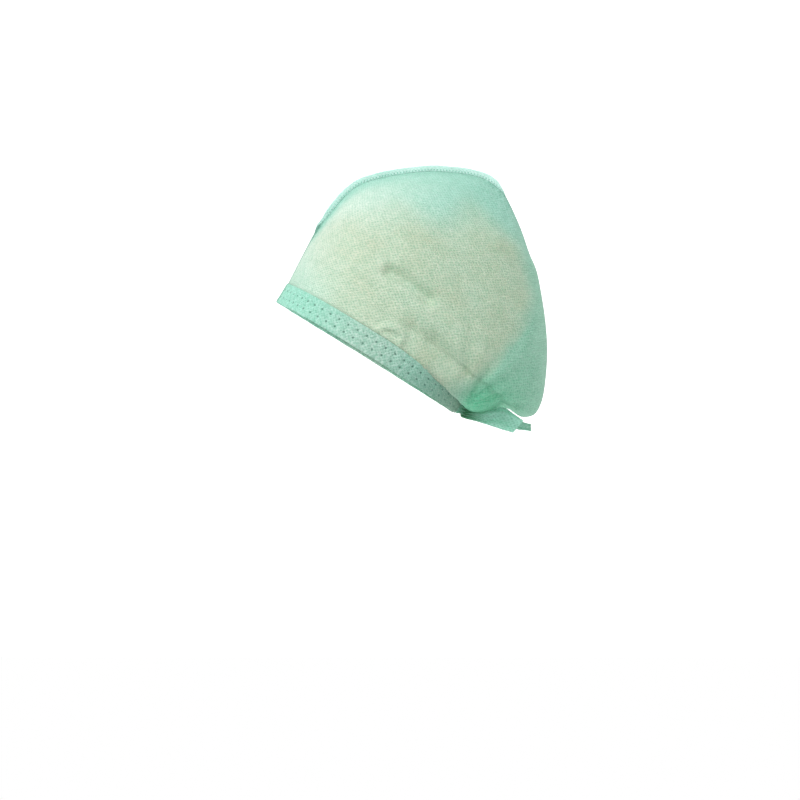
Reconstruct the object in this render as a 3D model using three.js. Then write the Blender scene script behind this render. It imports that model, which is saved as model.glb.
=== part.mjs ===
// Disposable tie-on surgical cap of thin nonwoven cloth, in the shape that it has on a head.
// A creased crown is closed by one welded seam over the top and hangs out in a pouch at the back. A folded
// band binds the head opening, and its two ends run on as flat ties that are knotted at the nape.
// Millimetres. X runs from the brow to the back, Y to the wearer's right and Z up. The origin is the middle
// of the head opening.
import * as THREE from "three";

// The head opening: a straight line from brow to nape seen from the side, and an oval seen along the head.
const OPENING_LENGTH = 187;
const OPENING_DROP_DEG = 32;
const HALF_WIDTH = 77;

// The crown, measured from the origin, how far its edge arches up over the ears, and its soft folds.
const CROWN_HEIGHT = 165;
const CROWN_BACK = 159;
const CLOTH = 1;
const EDGE_ARCH = 1.6;
const FOLD_DEPTH = 3;
const FOLD_WIDTH = 7;

// The band that is folded over the crown's edge and crumples narrower at the nape, and the seam that stands
// on the crown.
const BAND_WIDTH = 19;
const BAND_WIDTH_AT_NAPE = 14;
const BAND_PLY = 1;
const SEAM_HEIGHT = 5;
const SEAM_THICK = 2;

// The ties, which carry on the band's width, their reef knot and how far each tail reaches behind it.
const TIE_THICK = 1.8;
const STRAND = 3.4;
const KNOT_HALF_WIDTH = 9;
const KNOT_TO_CROWN = 1.8;
const BAND_END_TO_KNOT = 8;
const LEFT_TAIL_REACH = 44;
const RIGHT_TAIL_REACH = 58;

// The gap left between pieces that touch.
const GAP = 0.3;

const CLOTH_COLOUR = 0x9fd6c1;
const BAND_COLOUR = 0x8fd0b8;
const SEAM_COLOUR = 0xa9e2d2;

const UP = new THREE.Vector3(0, 0, 1);
const ACROSS = new THREE.Vector3(0, 1, 0);
const drop = THREE.MathUtils.degToRad(OPENING_DROP_DEG);
const toNape = new THREE.Vector3(Math.cos(drop), 0, -Math.sin(drop));
const fromOpening = new THREE.Vector3(Math.sin(drop), 0, Math.cos(drop));

// The outline in the plane of symmetry. back is a share of CROWN_BACK, and up a share of CROWN_HEIGHT.
const FRONT_CREASE = [{ back: -0.354, up: 0.552 }];
const SEAM_START = { back: -0.269, up: 0.707 };
const TOP_SEAM = [
  { back: -0.23, up: 0.738 },
  { back: -0.187, up: 0.789 },
  { back: -0.103, up: 0.881 },
  { back: -0.023, up: 0.934 },
  { back: 0.06, up: 0.959 },
  { back: 0.189, up: 0.984 },
  { back: 0.362, up: 1.0 },
  { back: 0.45, up: 0.995 },
  { back: 0.577, up: 0.98 },
  { back: 0.657, up: 0.956 },
];
const SEAM_END = { back: 0.703, up: 0.928 };
const BACK_FOLD = [
  { back: 0.757, up: 0.885 },
  { back: 0.79, up: 0.83 },
  { back: 0.855, up: 0.69 },
  { back: 0.902, up: 0.56 },
  { back: 0.94, up: 0.473 },
  { back: 0.963, up: 0.37 },
  { back: 0.99, up: 0.2 },
  { back: 1.0, up: 0.05 },
  { back: 0.99, up: -0.12 },
  { back: 0.967, up: -0.235 },
  { back: 0.93, up: -0.297 },
  { back: 0.885, up: -0.316 },
  { back: 0.845, up: -0.305 },
  { back: 0.775, up: -0.275 },
  { back: 0.67, up: -0.255 },
];

// Half widths as shares of HALF_WIDTH, a row for each section from the crease (around 0) to the back fold (1):
// at the opening, at the band's top edge, and at a third and two thirds of the way up to the seam.
const SECTIONS = [
  { around: 0.0, rim: 0.0, bandTop: 0.0, low: 0.0, high: 0.0 },
  { around: 0.1, rim: 0.3, bandTop: 0.29, low: 0.25, high: 0.16 },
  { around: 0.2, rim: 0.63, bandTop: 0.62, low: 0.55, high: 0.38 },
  { around: 0.3, rim: 0.84, bandTop: 0.84, low: 0.8, high: 0.59 },
  { around: 0.4, rim: 0.95, bandTop: 0.96, low: 0.95, high: 0.75 },
  { around: 0.5, rim: 0.98, bandTop: 1.0, low: 1.0, high: 0.81 },
  { around: 0.6, rim: 0.93, bandTop: 0.97, low: 0.96, high: 0.76 },
  { around: 0.7, rim: 0.79, bandTop: 0.88, low: 0.83, high: 0.64 },
  { around: 0.8, rim: 0.59, bandTop: 0.73, low: 0.64, high: 0.47 },
  { around: 0.9, rim: 0.36, bandTop: 0.47, low: 0.38, high: 0.27 },
  { around: 1.0, rim: 0.0, bandTop: 0.0, low: 0.0, high: 0.0 },
];

// Soft dents and gathers: each runs between two places on a side. around goes from the crease to the back
// fold, up from the band's top edge to the seam, and deep and wide are shares of FOLD_DEPTH and FOLD_WIDTH.
const FOLDS = [
  { around: 0.9, up: 0.02, toAround: 0.74, toUp: 0.3, deep: 1.1, wide: 1 },
  { around: 0.93, up: 0.05, toAround: 0.86, toUp: 0.34, deep: 1, wide: 0.85 },
  { around: 0.84, up: 0.01, toAround: 0.62, toUp: 0.16, deep: 0.85, wide: 1 },
  { around: 0.97, up: 0.28, toAround: 0.8, toUp: 0.24, deep: 1, wide: 1 },
  { around: 0.42, up: 0.34, toAround: 0.56, toUp: 0.24, deep: 0.85, wide: 1.45 },
];

// The reef knot: where one tie goes, across from its own side to the other, up from the knot's middle and
// over (1) or under (-1) the other tie. across is a share of KNOT_HALF_WIDTH, and up of a strand's lane.
const KNOT_WEAVE = [
  { across: -1.15, up: 0.5, over: 0.9 },
  { across: -0.88, up: 0.5, over: 1 },
  { across: -0.44, up: 0.52, over: -0.05 },
  { across: 0, up: 1.15, over: -1.15 },
  { across: 0.44, up: 1.78, over: 0 },
  { across: 0.8, up: 1.6, over: 0.9 },
  { across: 1.02, up: 0.95, over: 1.05 },
  { across: 1.1, up: 0, over: 1.05 },
  { across: 1.02, up: -0.95, over: 1.05 },
  { across: 0.8, up: -1.6, over: 0.9 },
  { across: 0.44, up: -1.78, over: 0 },
  { across: 0, up: -1.15, over: -1.15 },
  { across: -0.44, up: -0.52, over: -0.05 },
  { across: -0.88, up: -0.5, over: 1 },
  { across: -1.15, up: -0.5, over: 0.9 },
];

// The free ends. across is a share of KNOT_HALF_WIDTH, and up and out, from the knot's middle, are shares of
// the tail's reach. open is the share of BAND_WIDTH that has opened out, and lean turns it from upright, in
// degrees.
const LEFT_TAIL = [
  { across: -1.61, up: -0.036, out: 0.114, open: 0.4, lean: 10 },
  { across: -1.78, up: 0.027, out: 0.239, open: 0.52, lean: 15 },
  { across: -1.94, up: 0.134, out: 0.466, open: 0.68, lean: 25 },
  { across: -2.11, up: 0.232, out: 0.727, open: 0.85, lean: 35 },
  { across: -2.28, up: 0.309, out: 1, open: 1, lean: 42 },
];
const RIGHT_TAIL = [
  { across: 1.67, up: -0.038, out: -0.028, open: 0.28, lean: -6 },
  { across: 2.22, up: 0, out: 0.103, open: 0.42, lean: -12 },
  { across: 2.83, up: 0.147, out: 0.353, open: 0.66, lean: -20 },
  { across: 3.17, up: 0.267, out: 0.62, open: 0.85, lean: -34 },
  { across: 3.11, up: 0.345, out: 1, open: 1, lean: -58 },
];

// How finely the pieces are divided.
const AROUND_STEPS = 40;
const UP_STEPS = 20;
const BAND_STEPS = 3;
const SEAM_STEPS = 40;
const STRAND_SIDES = 6;
const STRAND_STEPS = 58;

// How much closer together the crown's rows are near the band than at the seam.
const UP_SPREAD = 1.3;
// How evenly the sections are spread: 1 bunches them at the crease and the back fold, 0 spaces them evenly.
const BUNCHING = 0.7;
// Where along the opening the band starts to crumple towards the nape.
const CRUMPLE_START = 0.55;
// How quickly the pull of the back fold fades towards the brow.
const POUCH_FADE = 1.8;

// The crown's edge stands in the band's fold, so it starts that much above the opening.
const foldUnder = GAP + BAND_PLY;
const edgeRise = fromOpening.clone().multiplyScalar(foldUnder);
const brow = toNape.clone().multiplyScalar(-OPENING_LENGTH / 2).add(edgeRise);
const nape = toNape.clone().multiplyScalar(OPENING_LENGTH / 2).add(edgeRise);
const browTop = brow.clone().addScaledVector(fromOpening, BAND_WIDTH - foldUnder);
const napeTop = nape.clone().addScaledVector(fromOpening, BAND_WIDTH_AT_NAPE - foldUnder);

function outlinePoint({ back, up }) {
  return new THREE.Vector3(back * CROWN_BACK, 0, up * CROWN_HEIGHT);
}

function curveThrough(points) {
  const curve = new THREE.CatmullRomCurve3(points, false, "centripetal");
  curve.arcLengthDivisions = 400;
  return curve;
}

const seamStart = outlinePoint(SEAM_START);
const seamEnd = outlinePoint(SEAM_END);
const crease = curveThrough([browTop, ...FRONT_CREASE.map(outlinePoint), seamStart]);
const seam = curveThrough([seamStart, ...TOP_SEAM.map(outlinePoint), seamEnd]);
const backFold = curveThrough([seamEnd, ...BACK_FOLD.map(outlinePoint), napeTop]);

// A smooth curve through a table's column, by its rows' around values.
function smooth(rows, column, around) {
  const last = rows.length - 1;
  let i = rows.findIndex((row) => row.around > around) - 1;
  if (i < 0) i = last - 1;
  const slope = (k) => {
    const before = rows[Math.max(k - 1, 0)];
    const after = rows[Math.min(k + 1, last)];
    return (after[column] - before[column]) / (after.around - before.around);
  };
  const span = rows[i + 1].around - rows[i].around;
  const t = (around - rows[i].around) / span;
  const t2 = t * t;
  const t3 = t2 * t;
  return (
    (2 * t3 - 3 * t2 + 1) * rows[i][column] +
    (t3 - 2 * t2 + t) * span * slope(i) +
    (3 * t2 - 2 * t3) * rows[i + 1][column] +
    (t3 - t2) * span * slope(i + 1)
  );
}

// How far along the opening a section stands, from the brow (0) to the nape (1).
function alongOpening(around) {
  const bunched = (1 - Math.cos(Math.PI * around)) / 2;
  return THREE.MathUtils.lerp(around, bunched, BUNCHING);
}

// How high the strip that the band covers is, from the brow (0) to the nape (1).
function stripHeight(along) {
  const crumple = THREE.MathUtils.smoothstep(along, CRUMPLE_START, 1);
  return THREE.MathUtils.lerp(BAND_WIDTH, BAND_WIDTH_AT_NAPE, crumple) - foldUnder;
}

// A place on the crown's edge (height 0), in the band's strip or at its top edge (height 1).
function stripPlace(along, height) {
  const arch = EDGE_ARCH * 4 * along * (1 - along);
  return brow.clone().lerp(nape, along).addScaledVector(fromOpening, arch + height * stripHeight(along));
}

// The place in the plane of symmetry of a point of the crown above the band: a patch between the band's
// top edge, the crease, the seam and the back fold.
function crownPlace(around, up) {
  const along = alongOpening(around);
  const edge = stripPlace(along, 1);
  const top = seam.getPointAt(along);
  const place = edge.lerp(top, up);
  const creasePull = crease.getPointAt(up).sub(browTop.clone().lerp(seamStart, up));
  const backPull = backFold.getPointAt(1 - up).sub(napeTop.clone().lerp(seamEnd, up));
  place.addScaledVector(creasePull, 1 - along);
  place.addScaledVector(backPull, along ** POUCH_FADE);
  return place;
}

// A cubic through the values at 0, 1/3, 2/3 and 1.
function throughThirds(a, b, c, d, t) {
  const p = 3 * t;
  return (
    (-a * (p - 1) * (p - 2) * (p - 3)) / 6 +
    (b * p * (p - 2) * (p - 3)) / 2 -
    (c * p * (p - 1) * (p - 3)) / 2 +
    (d * p * (p - 1) * (p - 2)) / 6
  );
}

// How far a fold draws the cloth in at a place on the crown.
function foldDepth(place, around, up) {
  let depth = 0;
  for (const fold of FOLDS) {
    const from = crownPlace(fold.around, fold.up);
    const to = crownPlace(fold.toAround, fold.toUp);
    const line = new THREE.Line3(from, to);
    const nearest = line.closestPointToPoint(place, true, new THREE.Vector3());
    const away = nearest.distanceTo(place) / (fold.wide * FOLD_WIDTH);
    depth += fold.deep * FOLD_DEPTH * Math.exp(-away * away);
  }
  const fromEdges = Math.min(1, 5 * up, 5 * (1 - up), 6 * (1 - around), 6 * around);
  return depth * fromEdges;
}

// A point of the crown's outer surface on the side given (-1 left, 1 right). up runs from -1 at the opening
// to 0 at the band's top edge and on to 1 at the seam.
function crownPoint(around, up, side) {
  const bandTop = smooth(SECTIONS, "bandTop", around);
  if (up <= 0) {
    const along = alongOpening(around);
    const share = smooth(SECTIONS, "rim", around);
    const place = stripPlace(along, 1 + up);
    place.y = side * HALF_WIDTH * THREE.MathUtils.lerp(bandTop, share, -up);
    return place;
  }
  const place = crownPlace(around, up);
  const low = smooth(SECTIONS, "low", around);
  const high = smooth(SECTIONS, "high", around);
  const half = HALF_WIDTH * throughThirds(bandTop, low, high, 0, up);
  place.y = side * (half - Math.min(foldDepth(place, around, up), 0.4 * half));
  return place;
}

// A closed mesh from points and the triangles between them.
function meshOf(name, points, triangles, colour) {
  const geometry = new THREE.BufferGeometry();
  const places = points.flatMap((p) => [p.x, p.y, p.z]);
  geometry.setAttribute("position", new THREE.Float32BufferAttribute(places, 3));
  geometry.setIndex(triangles.flat());
  geometry.computeVertexNormals();
  const material = new THREE.MeshStandardMaterial({ color: colour, roughness: 0.85, metalness: 0 });
  const mesh = new THREE.Mesh(geometry, material);
  mesh.name = name;
  return mesh;
}

// The two triangles of a four-sided face.
function quad(a, b, c, d) {
  return [
    [a, b, c],
    [a, c, d],
  ];
}

// The crown's sheet: both sides as one surface, joined at the crease, the seam and the back fold.
function crownSheet() {
  const points = [];
  const shared = new Map();
  const index = (i, j, side) => {
    const onFold = i === 0 || i === AROUND_STEPS || j === UP_STEPS;
    const key = `${i},${j},${onFold ? 0 : side}`;
    if (!shared.has(key)) {
      const up = j < 0 ? j / BAND_STEPS : (j / UP_STEPS) ** UP_SPREAD;
      const point = crownPoint(i / AROUND_STEPS, up, side);
      if (onFold) point.y = 0;
      shared.set(key, points.length);
      points.push(point);
    }
    return shared.get(key);
  };
  const triangles = [];
  for (const side of [-1, 1]) {
    for (let i = 0; i < AROUND_STEPS; i++) {
      for (let j = -BAND_STEPS; j < UP_STEPS; j++) {
        const [a, b] = [index(i, j, side), index(i + 1, j, side)];
        const [c, d] = [index(i + 1, j + 1, side), index(i, j + 1, side)];
        triangles.push(...(side < 0 ? quad(a, b, c, d) : quad(a, d, c, b)));
      }
    }
  }
  const edge = [];
  for (let i = 0; i <= AROUND_STEPS; i++) edge.push(index(i, -BAND_STEPS, -1));
  for (let i = AROUND_STEPS - 1; i > 0; i--) edge.push(index(i, -BAND_STEPS, 1));
  return { points, triangles, edge };
}

// How far each point moves inwards so that the wall has the same thickness everywhere, at creases too.
function inwardMoves(points, triangles, thickness) {
  const normals = points.map(() => new THREE.Vector3());
  const faces = points.map(() => []);
  for (const corners of triangles) {
    const [a, b, c] = corners.map((k) => points[k]);
    const face = b.clone().sub(a).cross(c.clone().sub(a));
    for (const k of corners) {
      normals[k].add(face);
      faces[k].push(face.clone().normalize());
    }
  }
  return normals.map((normal, k) => {
    normal.normalize();
    const facing = Math.max(0.5, Math.min(...faces[k].map((face) => face.dot(normal))));
    return normal.multiplyScalar(-thickness / facing);
  });
}

function crown() {
  const { points, triangles, edge } = crownSheet();
  const moves = inwardMoves(points, triangles, CLOTH);
  const count = points.length;
  const inner = points.map((point, k) => point.clone().add(moves[k]));
  const inside = triangles.map(([a, b, c]) => [c + count, b + count, a + count]);
  const rim = edge.flatMap((k, n) => {
    const next = edge[(n + 1) % edge.length];
    return quad(next, k, k + count, next + count);
  });
  return meshOf("crown", [...points, ...inner], [...triangles, ...inside, ...rim], CLOTH_COLOUR);
}

// The opening's strip of the crown: its outer point at a height (0 bottom, 1 top), and the way out from it.
function stripPoint(around, height, side) {
  return crownPoint(around, height - 1, side);
}

function stripNormal(around, side) {
  const step = 0.01;
  const before = stripPoint(Math.max(around - step, 0), 0.5, side);
  const after = stripPoint(Math.min(around + step, 1), 0.5, side);
  const along = after.sub(before);
  const rise = stripPoint(around, 1, side).sub(stripPoint(around, 0, side));
  return along.cross(rise).multiplyScalar(-side).normalize();
}

// Where the band ends beside the knot: the section at which the strip is as wide as the knot and its leads.
function bandEndAround() {
  const wanted = KNOT_HALF_WIDTH + BAND_END_TO_KNOT;
  let low = 0.5;
  let high = 1;
  for (let n = 0; n < 40; n++) {
    const middle = (low + high) / 2;
    if (Math.abs(stripPoint(middle, 0.5, 1).y) > wanted) low = middle;
    else high = middle;
  }
  return low;
}

const bandEnd = bandEndAround();

// The band's section, from its outer top edge round the bottom fold to its inner top edge and back between
// the plies: height is a share of the strip, below is mm under its edge, and out is mm from the crown.
const outerFace = GAP + BAND_PLY;
const innerFace = -(CLOTH + GAP + BAND_PLY);
const BAND_SECTION = [
  { height: 1, below: 0, out: outerFace },
  { height: 0.5, below: 0, out: outerFace },
  { height: 0, below: 0, out: outerFace },
  { height: 0, below: foldUnder, out: outerFace - BAND_PLY },
  { height: 0, below: foldUnder, out: innerFace + BAND_PLY },
  { height: 0, below: 0, out: innerFace },
  { height: 0.5, below: 0, out: innerFace },
  { height: 1, below: 0, out: innerFace },
  { height: 1, below: 0, out: innerFace + BAND_PLY },
  { height: 0.5, below: 0, out: innerFace + BAND_PLY },
  { height: 0, below: GAP, out: innerFace + BAND_PLY },
  { height: 0, below: GAP, out: GAP },
  { height: 0.5, below: 0, out: GAP },
  { height: 1, below: 0, out: GAP },
];

function bandSectionAt(around, side) {
  const onCrease = around === 0;
  const normal = stripNormal(onCrease ? 0.02 : around, side);
  // On the crease the two sides meet, so each face is pushed straight out by what keeps its thickness.
  const out = onCrease ? toNape.clone().multiplyScalar(-1) : normal;
  const stretch = onCrease ? 1 / Math.max(0.3, Math.abs(normal.dot(out))) : 1;
  return BAND_SECTION.map(({ height, below, out: distance }) => {
    const point = stripPoint(around, height, side);
    const rise = stripPoint(around, 1, side).sub(stripPoint(around, 0, side)).normalize();
    return point.addScaledVector(out, distance * stretch).addScaledVector(rise, -below);
  });
}

// A solid skinned over a row of sections with as many points each, closed at both ends.
function skinned(name, sections, colour) {
  const size = sections[0].length;
  const points = sections.flat();
  const triangles = [];
  for (let s = 0; s < sections.length - 1; s++) {
    for (let k = 0; k < size; k++) {
      const next = (k + 1) % size;
      const here = s * size;
      triangles.push(...quad(here + k, here + next, here + size + next, here + size + k));
    }
  }
  const end = (sections.length - 1) * size;
  const flat = flatOutline(sections[0]);
  for (const [a, b, c] of THREE.ShapeUtils.triangulateShape(flat, [])) {
    triangles.push([c, b, a]);
  }
  const flatEnd = flatOutline(sections[sections.length - 1]);
  for (const [a, b, c] of THREE.ShapeUtils.triangulateShape(flatEnd, [])) {
    triangles.push([end + a, end + b, end + c]);
  }
  return meshOf(name, points, triangles, colour);
}

// A section's points in its own plane, turned so that its outline runs counter-clockwise.
function flatOutline(section) {
  const normal = new THREE.Vector3();
  section.forEach((point, k) => {
    normal.add(point.clone().cross(section[(k + 1) % section.length]));
  });
  normal.normalize();
  const first = section[1].clone().sub(section[0]).normalize();
  const second = normal.clone().cross(first);
  return section.map((point) => new THREE.Vector2(point.dot(first), point.dot(second)));
}

function band() {
  const places = [bandEnd];
  for (let i = AROUND_STEPS; i >= 0; i--) {
    if (i / AROUND_STEPS < bandEnd - 0.5 / AROUND_STEPS) places.push(i / AROUND_STEPS);
  }
  const rightSide = places.map((around) => bandSectionAt(around, 1));
  const leftSide = places.slice(0, -1).map((around) => bandSectionAt(around, -1));
  return skinned("band", [...rightSide, ...leftSide.reverse()], BAND_COLOUR);
}

// The welded seam: two plies standing up along the ridge, fading out at both ends.
function topSeam() {
  const inner = [];
  const outer = [];
  for (let n = 0; n <= SEAM_STEPS; n++) {
    const share = n / SEAM_STEPS;
    const point = seam.getPointAt(share);
    const tangent = seam.getTangentAt(share);
    const away = new THREE.Vector3(-tangent.z, 0, tangent.x);
    const ends = Math.min(1, 0.35 + 8 * share, 0.35 + 8 * (1 - share));
    inner.push(point.clone().addScaledVector(away, GAP));
    outer.push(point.clone().addScaledVector(away, GAP + SEAM_HEIGHT * ends));
  }
  const outline = [...inner, ...outer.reverse()].map((point) => new THREE.Vector2(point.x, point.z));
  const geometry = new THREE.ExtrudeGeometry(new THREE.Shape(outline), {
    depth: SEAM_THICK,
    bevelEnabled: false,
    steps: 1,
  });
  const material = new THREE.MeshStandardMaterial({ color: SEAM_COLOUR, roughness: 0.8, metalness: 0 });
  const mesh = new THREE.Mesh(geometry, material);
  mesh.name = "top_seam";
  mesh.rotation.x = Math.PI / 2;
  mesh.position.y = SEAM_THICK / 2;
  return mesh;
}

// The knot's own frame: across it, up the strip and out behind the nape. Its top is level with the band's top
// edge, and its inner strands stay clear of the crown.
const lane = STRAND + GAP;
const knotHalfHeight = Math.max(...KNOT_WEAVE.map((row) => row.up)) * lane + STRAND / 2;
const knotMiddle = napeTop.clone().addScaledVector(fromOpening, -knotHalfHeight);
knotMiddle.addScaledVector(toNape, lane + KNOT_TO_CROWN);

function knotPlace(across, up, out) {
  const place = knotMiddle.clone().addScaledVector(ACROSS, across);
  return place.addScaledVector(fromOpening, up).addScaledVector(toNape, out);
}

// The stations of a tie's middle line: where it is, how wide and thick it is there, and how it leans.
function tieStations(side, tail, reach) {
  const start = stripPoint(bandEnd, 0.5, side);
  const wayOut = stripNormal(bandEnd, side);
  start.addScaledVector(wayOut, 2 * GAP + TIE_THICK / 2);
  const along = stripPoint(Math.min(bandEnd + 0.01, 1), 0.5, side).sub(stripPoint(bandEnd, 0.5, side));
  along.normalize();
  // The band's end face leans along it, so the tie starts clear of that face's forward corner.
  const rise = stripPoint(bandEnd, 1, side).sub(stripPoint(bandEnd, 0, side)).normalize();
  const shear = Math.abs(rise.dot(along)) / rise.clone().cross(along).length();
  const leadWide = 0.8 * BAND_WIDTH_AT_NAPE;
  const toTie = GAP + (shear * leadWide) / 2;
  const lead = start.clone().addScaledVector(along, toTie);
  const leadEnd = start.clone().addScaledVector(along, toTie + 0.15 * BAND_END_TO_KNOT);
  const leadMiddle = knotPlace(side * KNOT_HALF_WIDTH * 1.5, 0.3 * lane, -side * 0.3 * lane);
  const stations = [
    { at: lead, wide: leadWide, thick: TIE_THICK, lean: 0 },
    { at: leadEnd, wide: 0.9 * leadWide, thick: TIE_THICK, lean: 0 },
    { at: leadMiddle, wide: 0.4 * BAND_WIDTH, thick: 0.9 * STRAND, lean: 0 },
  ];
  for (const { across, up, over } of KNOT_WEAVE) {
    const at = knotPlace(-side * across * KNOT_HALF_WIDTH, up * lane, (-side * over * lane) / 2);
    stations.push({ at, wide: STRAND, thick: STRAND, lean: 0 });
  }
  for (const { across, up, out, open, lean } of tail) {
    const wide = BAND_WIDTH * open;
    const thick = THREE.MathUtils.lerp(STRAND, TIE_THICK, Math.min(1, 1.4 * open));
    const at = knotPlace(across * KNOT_HALF_WIDTH, up * reach, out * reach);
    stations.push({ at, wide, thick, lean });
  }
  return stations;
}

function tie(name, side, tail, reach) {
  const stations = tieStations(side, tail, reach);
  const path = curveThrough(stations.map((station) => station.at));
  const last = stations.length - 1;
  const between = (column, t) => {
    const k = Math.min(Math.floor(t * last), last - 1);
    return THREE.MathUtils.lerp(stations[k][column], stations[k + 1][column], t * last - k);
  };
  const sections = [];
  for (let n = 0; n <= STRAND_STEPS; n++) {
    const t = n / STRAND_STEPS;
    const tangent = path.getTangent(t);
    const lean = THREE.MathUtils.degToRad(between("lean", t));
    const widthWay = fromOpening.clone().multiplyScalar(Math.cos(lean));
    widthWay.addScaledVector(ACROSS, Math.sin(lean));
    widthWay.addScaledVector(tangent, -widthWay.dot(tangent)).normalize();
    const thickWay = tangent.clone().cross(widthWay);
    const centre = path.getPoint(t);
    const ring = [];
    for (let k = 0; k < STRAND_SIDES; k++) {
      const angle = ((k + 0.5) * 2 * Math.PI) / STRAND_SIDES;
      const across = (Math.cos(angle) * between("wide", t)) / 2;
      const through = (Math.sin(angle) * between("thick", t)) / 2;
      ring.push(centre.clone().addScaledVector(widthWay, across).addScaledVector(thickWay, through));
    }
    sections.push(ring);
  }
  return skinned(name, sections, BAND_COLOUR);
}

const cap = new THREE.Group();
cap.add(crown(), band(), topSeam());
cap.add(tie("tie_left", -1, LEFT_TAIL, LEFT_TAIL_REACH));
cap.add(tie("tie_right", 1, RIGHT_TAIL, RIGHT_TAIL_REACH));

export default cap;
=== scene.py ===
"""Tie-on surgical cap of thin spunbond cloth, as it sits when it is worn.

A creased crown is closed over the top by a standing welded seam and hangs out in a pouch at the back. A
folded band binds the opening, and its two ends run on as limp ties that are knotted at the nape.
Lengths are in millimetres until a mesh is written, and meshes are in metres.
"""

import logging
import math
from dataclasses import dataclass, field
from enum import Enum

import bmesh
import bpy
import numpy as np
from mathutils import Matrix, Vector


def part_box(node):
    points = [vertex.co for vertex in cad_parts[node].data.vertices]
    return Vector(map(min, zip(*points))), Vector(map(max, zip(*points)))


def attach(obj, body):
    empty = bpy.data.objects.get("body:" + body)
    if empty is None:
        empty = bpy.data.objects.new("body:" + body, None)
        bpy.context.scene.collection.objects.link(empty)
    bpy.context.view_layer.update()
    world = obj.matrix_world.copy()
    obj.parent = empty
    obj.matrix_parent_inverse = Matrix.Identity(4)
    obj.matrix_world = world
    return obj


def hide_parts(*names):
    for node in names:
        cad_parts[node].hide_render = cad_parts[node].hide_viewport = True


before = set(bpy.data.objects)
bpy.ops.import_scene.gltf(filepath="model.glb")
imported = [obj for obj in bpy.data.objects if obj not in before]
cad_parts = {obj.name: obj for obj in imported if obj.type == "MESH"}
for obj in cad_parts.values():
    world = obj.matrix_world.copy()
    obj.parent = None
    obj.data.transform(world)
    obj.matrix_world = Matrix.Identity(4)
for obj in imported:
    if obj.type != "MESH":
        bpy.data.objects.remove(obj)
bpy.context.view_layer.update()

log = logging.getLogger("cap")

# What goes into a node's input: a number, a colour or vector, or another node's output.
Value = float | tuple[float, ...] | bpy.types.NodeSocket

MM = 0.001
SEED = 7
# Two points this close are one, and no length is divided by less.
TINY = 1e-6
# A wave starts anywhere in a full turn.
ANY_PHASE = (0, 6.28)

# The opening: seen from the side, a line from brow to nape that falls at this angle and arches a little.
OPENING_LENGTH = 187.0
OPENING_DROP = math.radians(32.0)
EDGE_ARCH = 1.6
BAND_WIDTH = 19.0
BAND_WIDTH_AT_NAPE = 14.0
# The band crumples from here to the nape, as a share of the way from the brow.
CRUMPLE_START = 0.55
# How far the crown's sections are bunched towards the brow and the nape. 0 would be even.
BUNCHING = 0.7
# The band's spot welds: how far apart they stand, and how high its two rows stand in it.
WELD_PITCH = 9.0
WELD_ROWS = (5.9, 12.9)
# The crown's edge stands in the band's fold, this much above the opening.
FOLD_UNDER = 1.3

TO_NAPE = np.array([math.cos(OPENING_DROP), 0.0, -math.sin(OPENING_DROP)])
FROM_OPENING = np.array([math.sin(OPENING_DROP), 0.0, math.cos(OPENING_DROP)])
ACROSS = np.array([0.0, 1.0, 0.0])
BROW = -TO_NAPE * OPENING_LENGTH / 2 + FROM_OPENING * FOLD_UNDER
NAPE = TO_NAPE * OPENING_LENGTH / 2 + FROM_OPENING * FOLD_UNDER
BROW_TOP = BROW + FROM_OPENING * (BAND_WIDTH - FOLD_UNDER)
NAPE_TOP = NAPE + FROM_OPENING * (BAND_WIDTH_AT_NAPE - FOLD_UNDER)


class Side(Enum):
    """The wearer's two sides, by the sign of Y."""

    LEFT = -1
    RIGHT = 1


def smoothstep(value: np.ndarray, low: float, high: float) -> np.ndarray:
    """Ease from 0 at low to 1 at high.

    Args:
        value: the numbers to ease.
        low: where the result starts to rise.
        high: where it reaches 1.

    Returns:
        The eased numbers, from 0 to 1.
    """
    t = np.clip((value - low) / (high - low), 0.0, 1.0)
    return t * t * (3 - 2 * t)


def bell(value: np.ndarray, width: float) -> np.ndarray:
    """Return a bell curve that is 1 at 0 and falls off over the width."""
    return np.exp(-((value / width) ** 2))


def ripple(value: np.ndarray, lengths: tuple[float, ...], seed: int) -> np.ndarray:
    """Sum a few waves of unlike lengths into an uneven ripple.

    Args:
        value: places along the ripple.
        lengths: wavelengths in the same unit.
        seed: picks the waves' phases and strengths.

    Returns:
        The ripple's height, about -1 to 1.
    """
    rng = np.random.default_rng(SEED + seed)
    total = np.zeros_like(value, dtype=float)
    for length in lengths:
        total += rng.uniform(0.6, 1.0) * np.sin(2 * math.pi * value / length + rng.uniform(*ANY_PHASE))
    return total / len(lengths)


def undulation(points: np.ndarray, wavelength: float, count: int, seed: int) -> np.ndarray:
    """Sum plane waves in random directions into a soft, uneven relief.

    Args:
        points: places, one per row in the last axis.
        wavelength: the middle wavelength.
        count: how many waves.
        seed: picks directions, phases and lengths.

    Returns:
        The relief's height, about -1 to 1.
    """
    rng = np.random.default_rng(SEED + seed)
    total = np.zeros(points.shape[:-1])
    for _ in range(count):
        way = rng.normal(size=3)
        way *= 2 * math.pi / (np.linalg.norm(way) * wavelength * rng.uniform(0.7, 1.5))
        total += np.sin(points @ way + rng.uniform(*ANY_PHASE))
    return total / math.sqrt(count)


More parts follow.
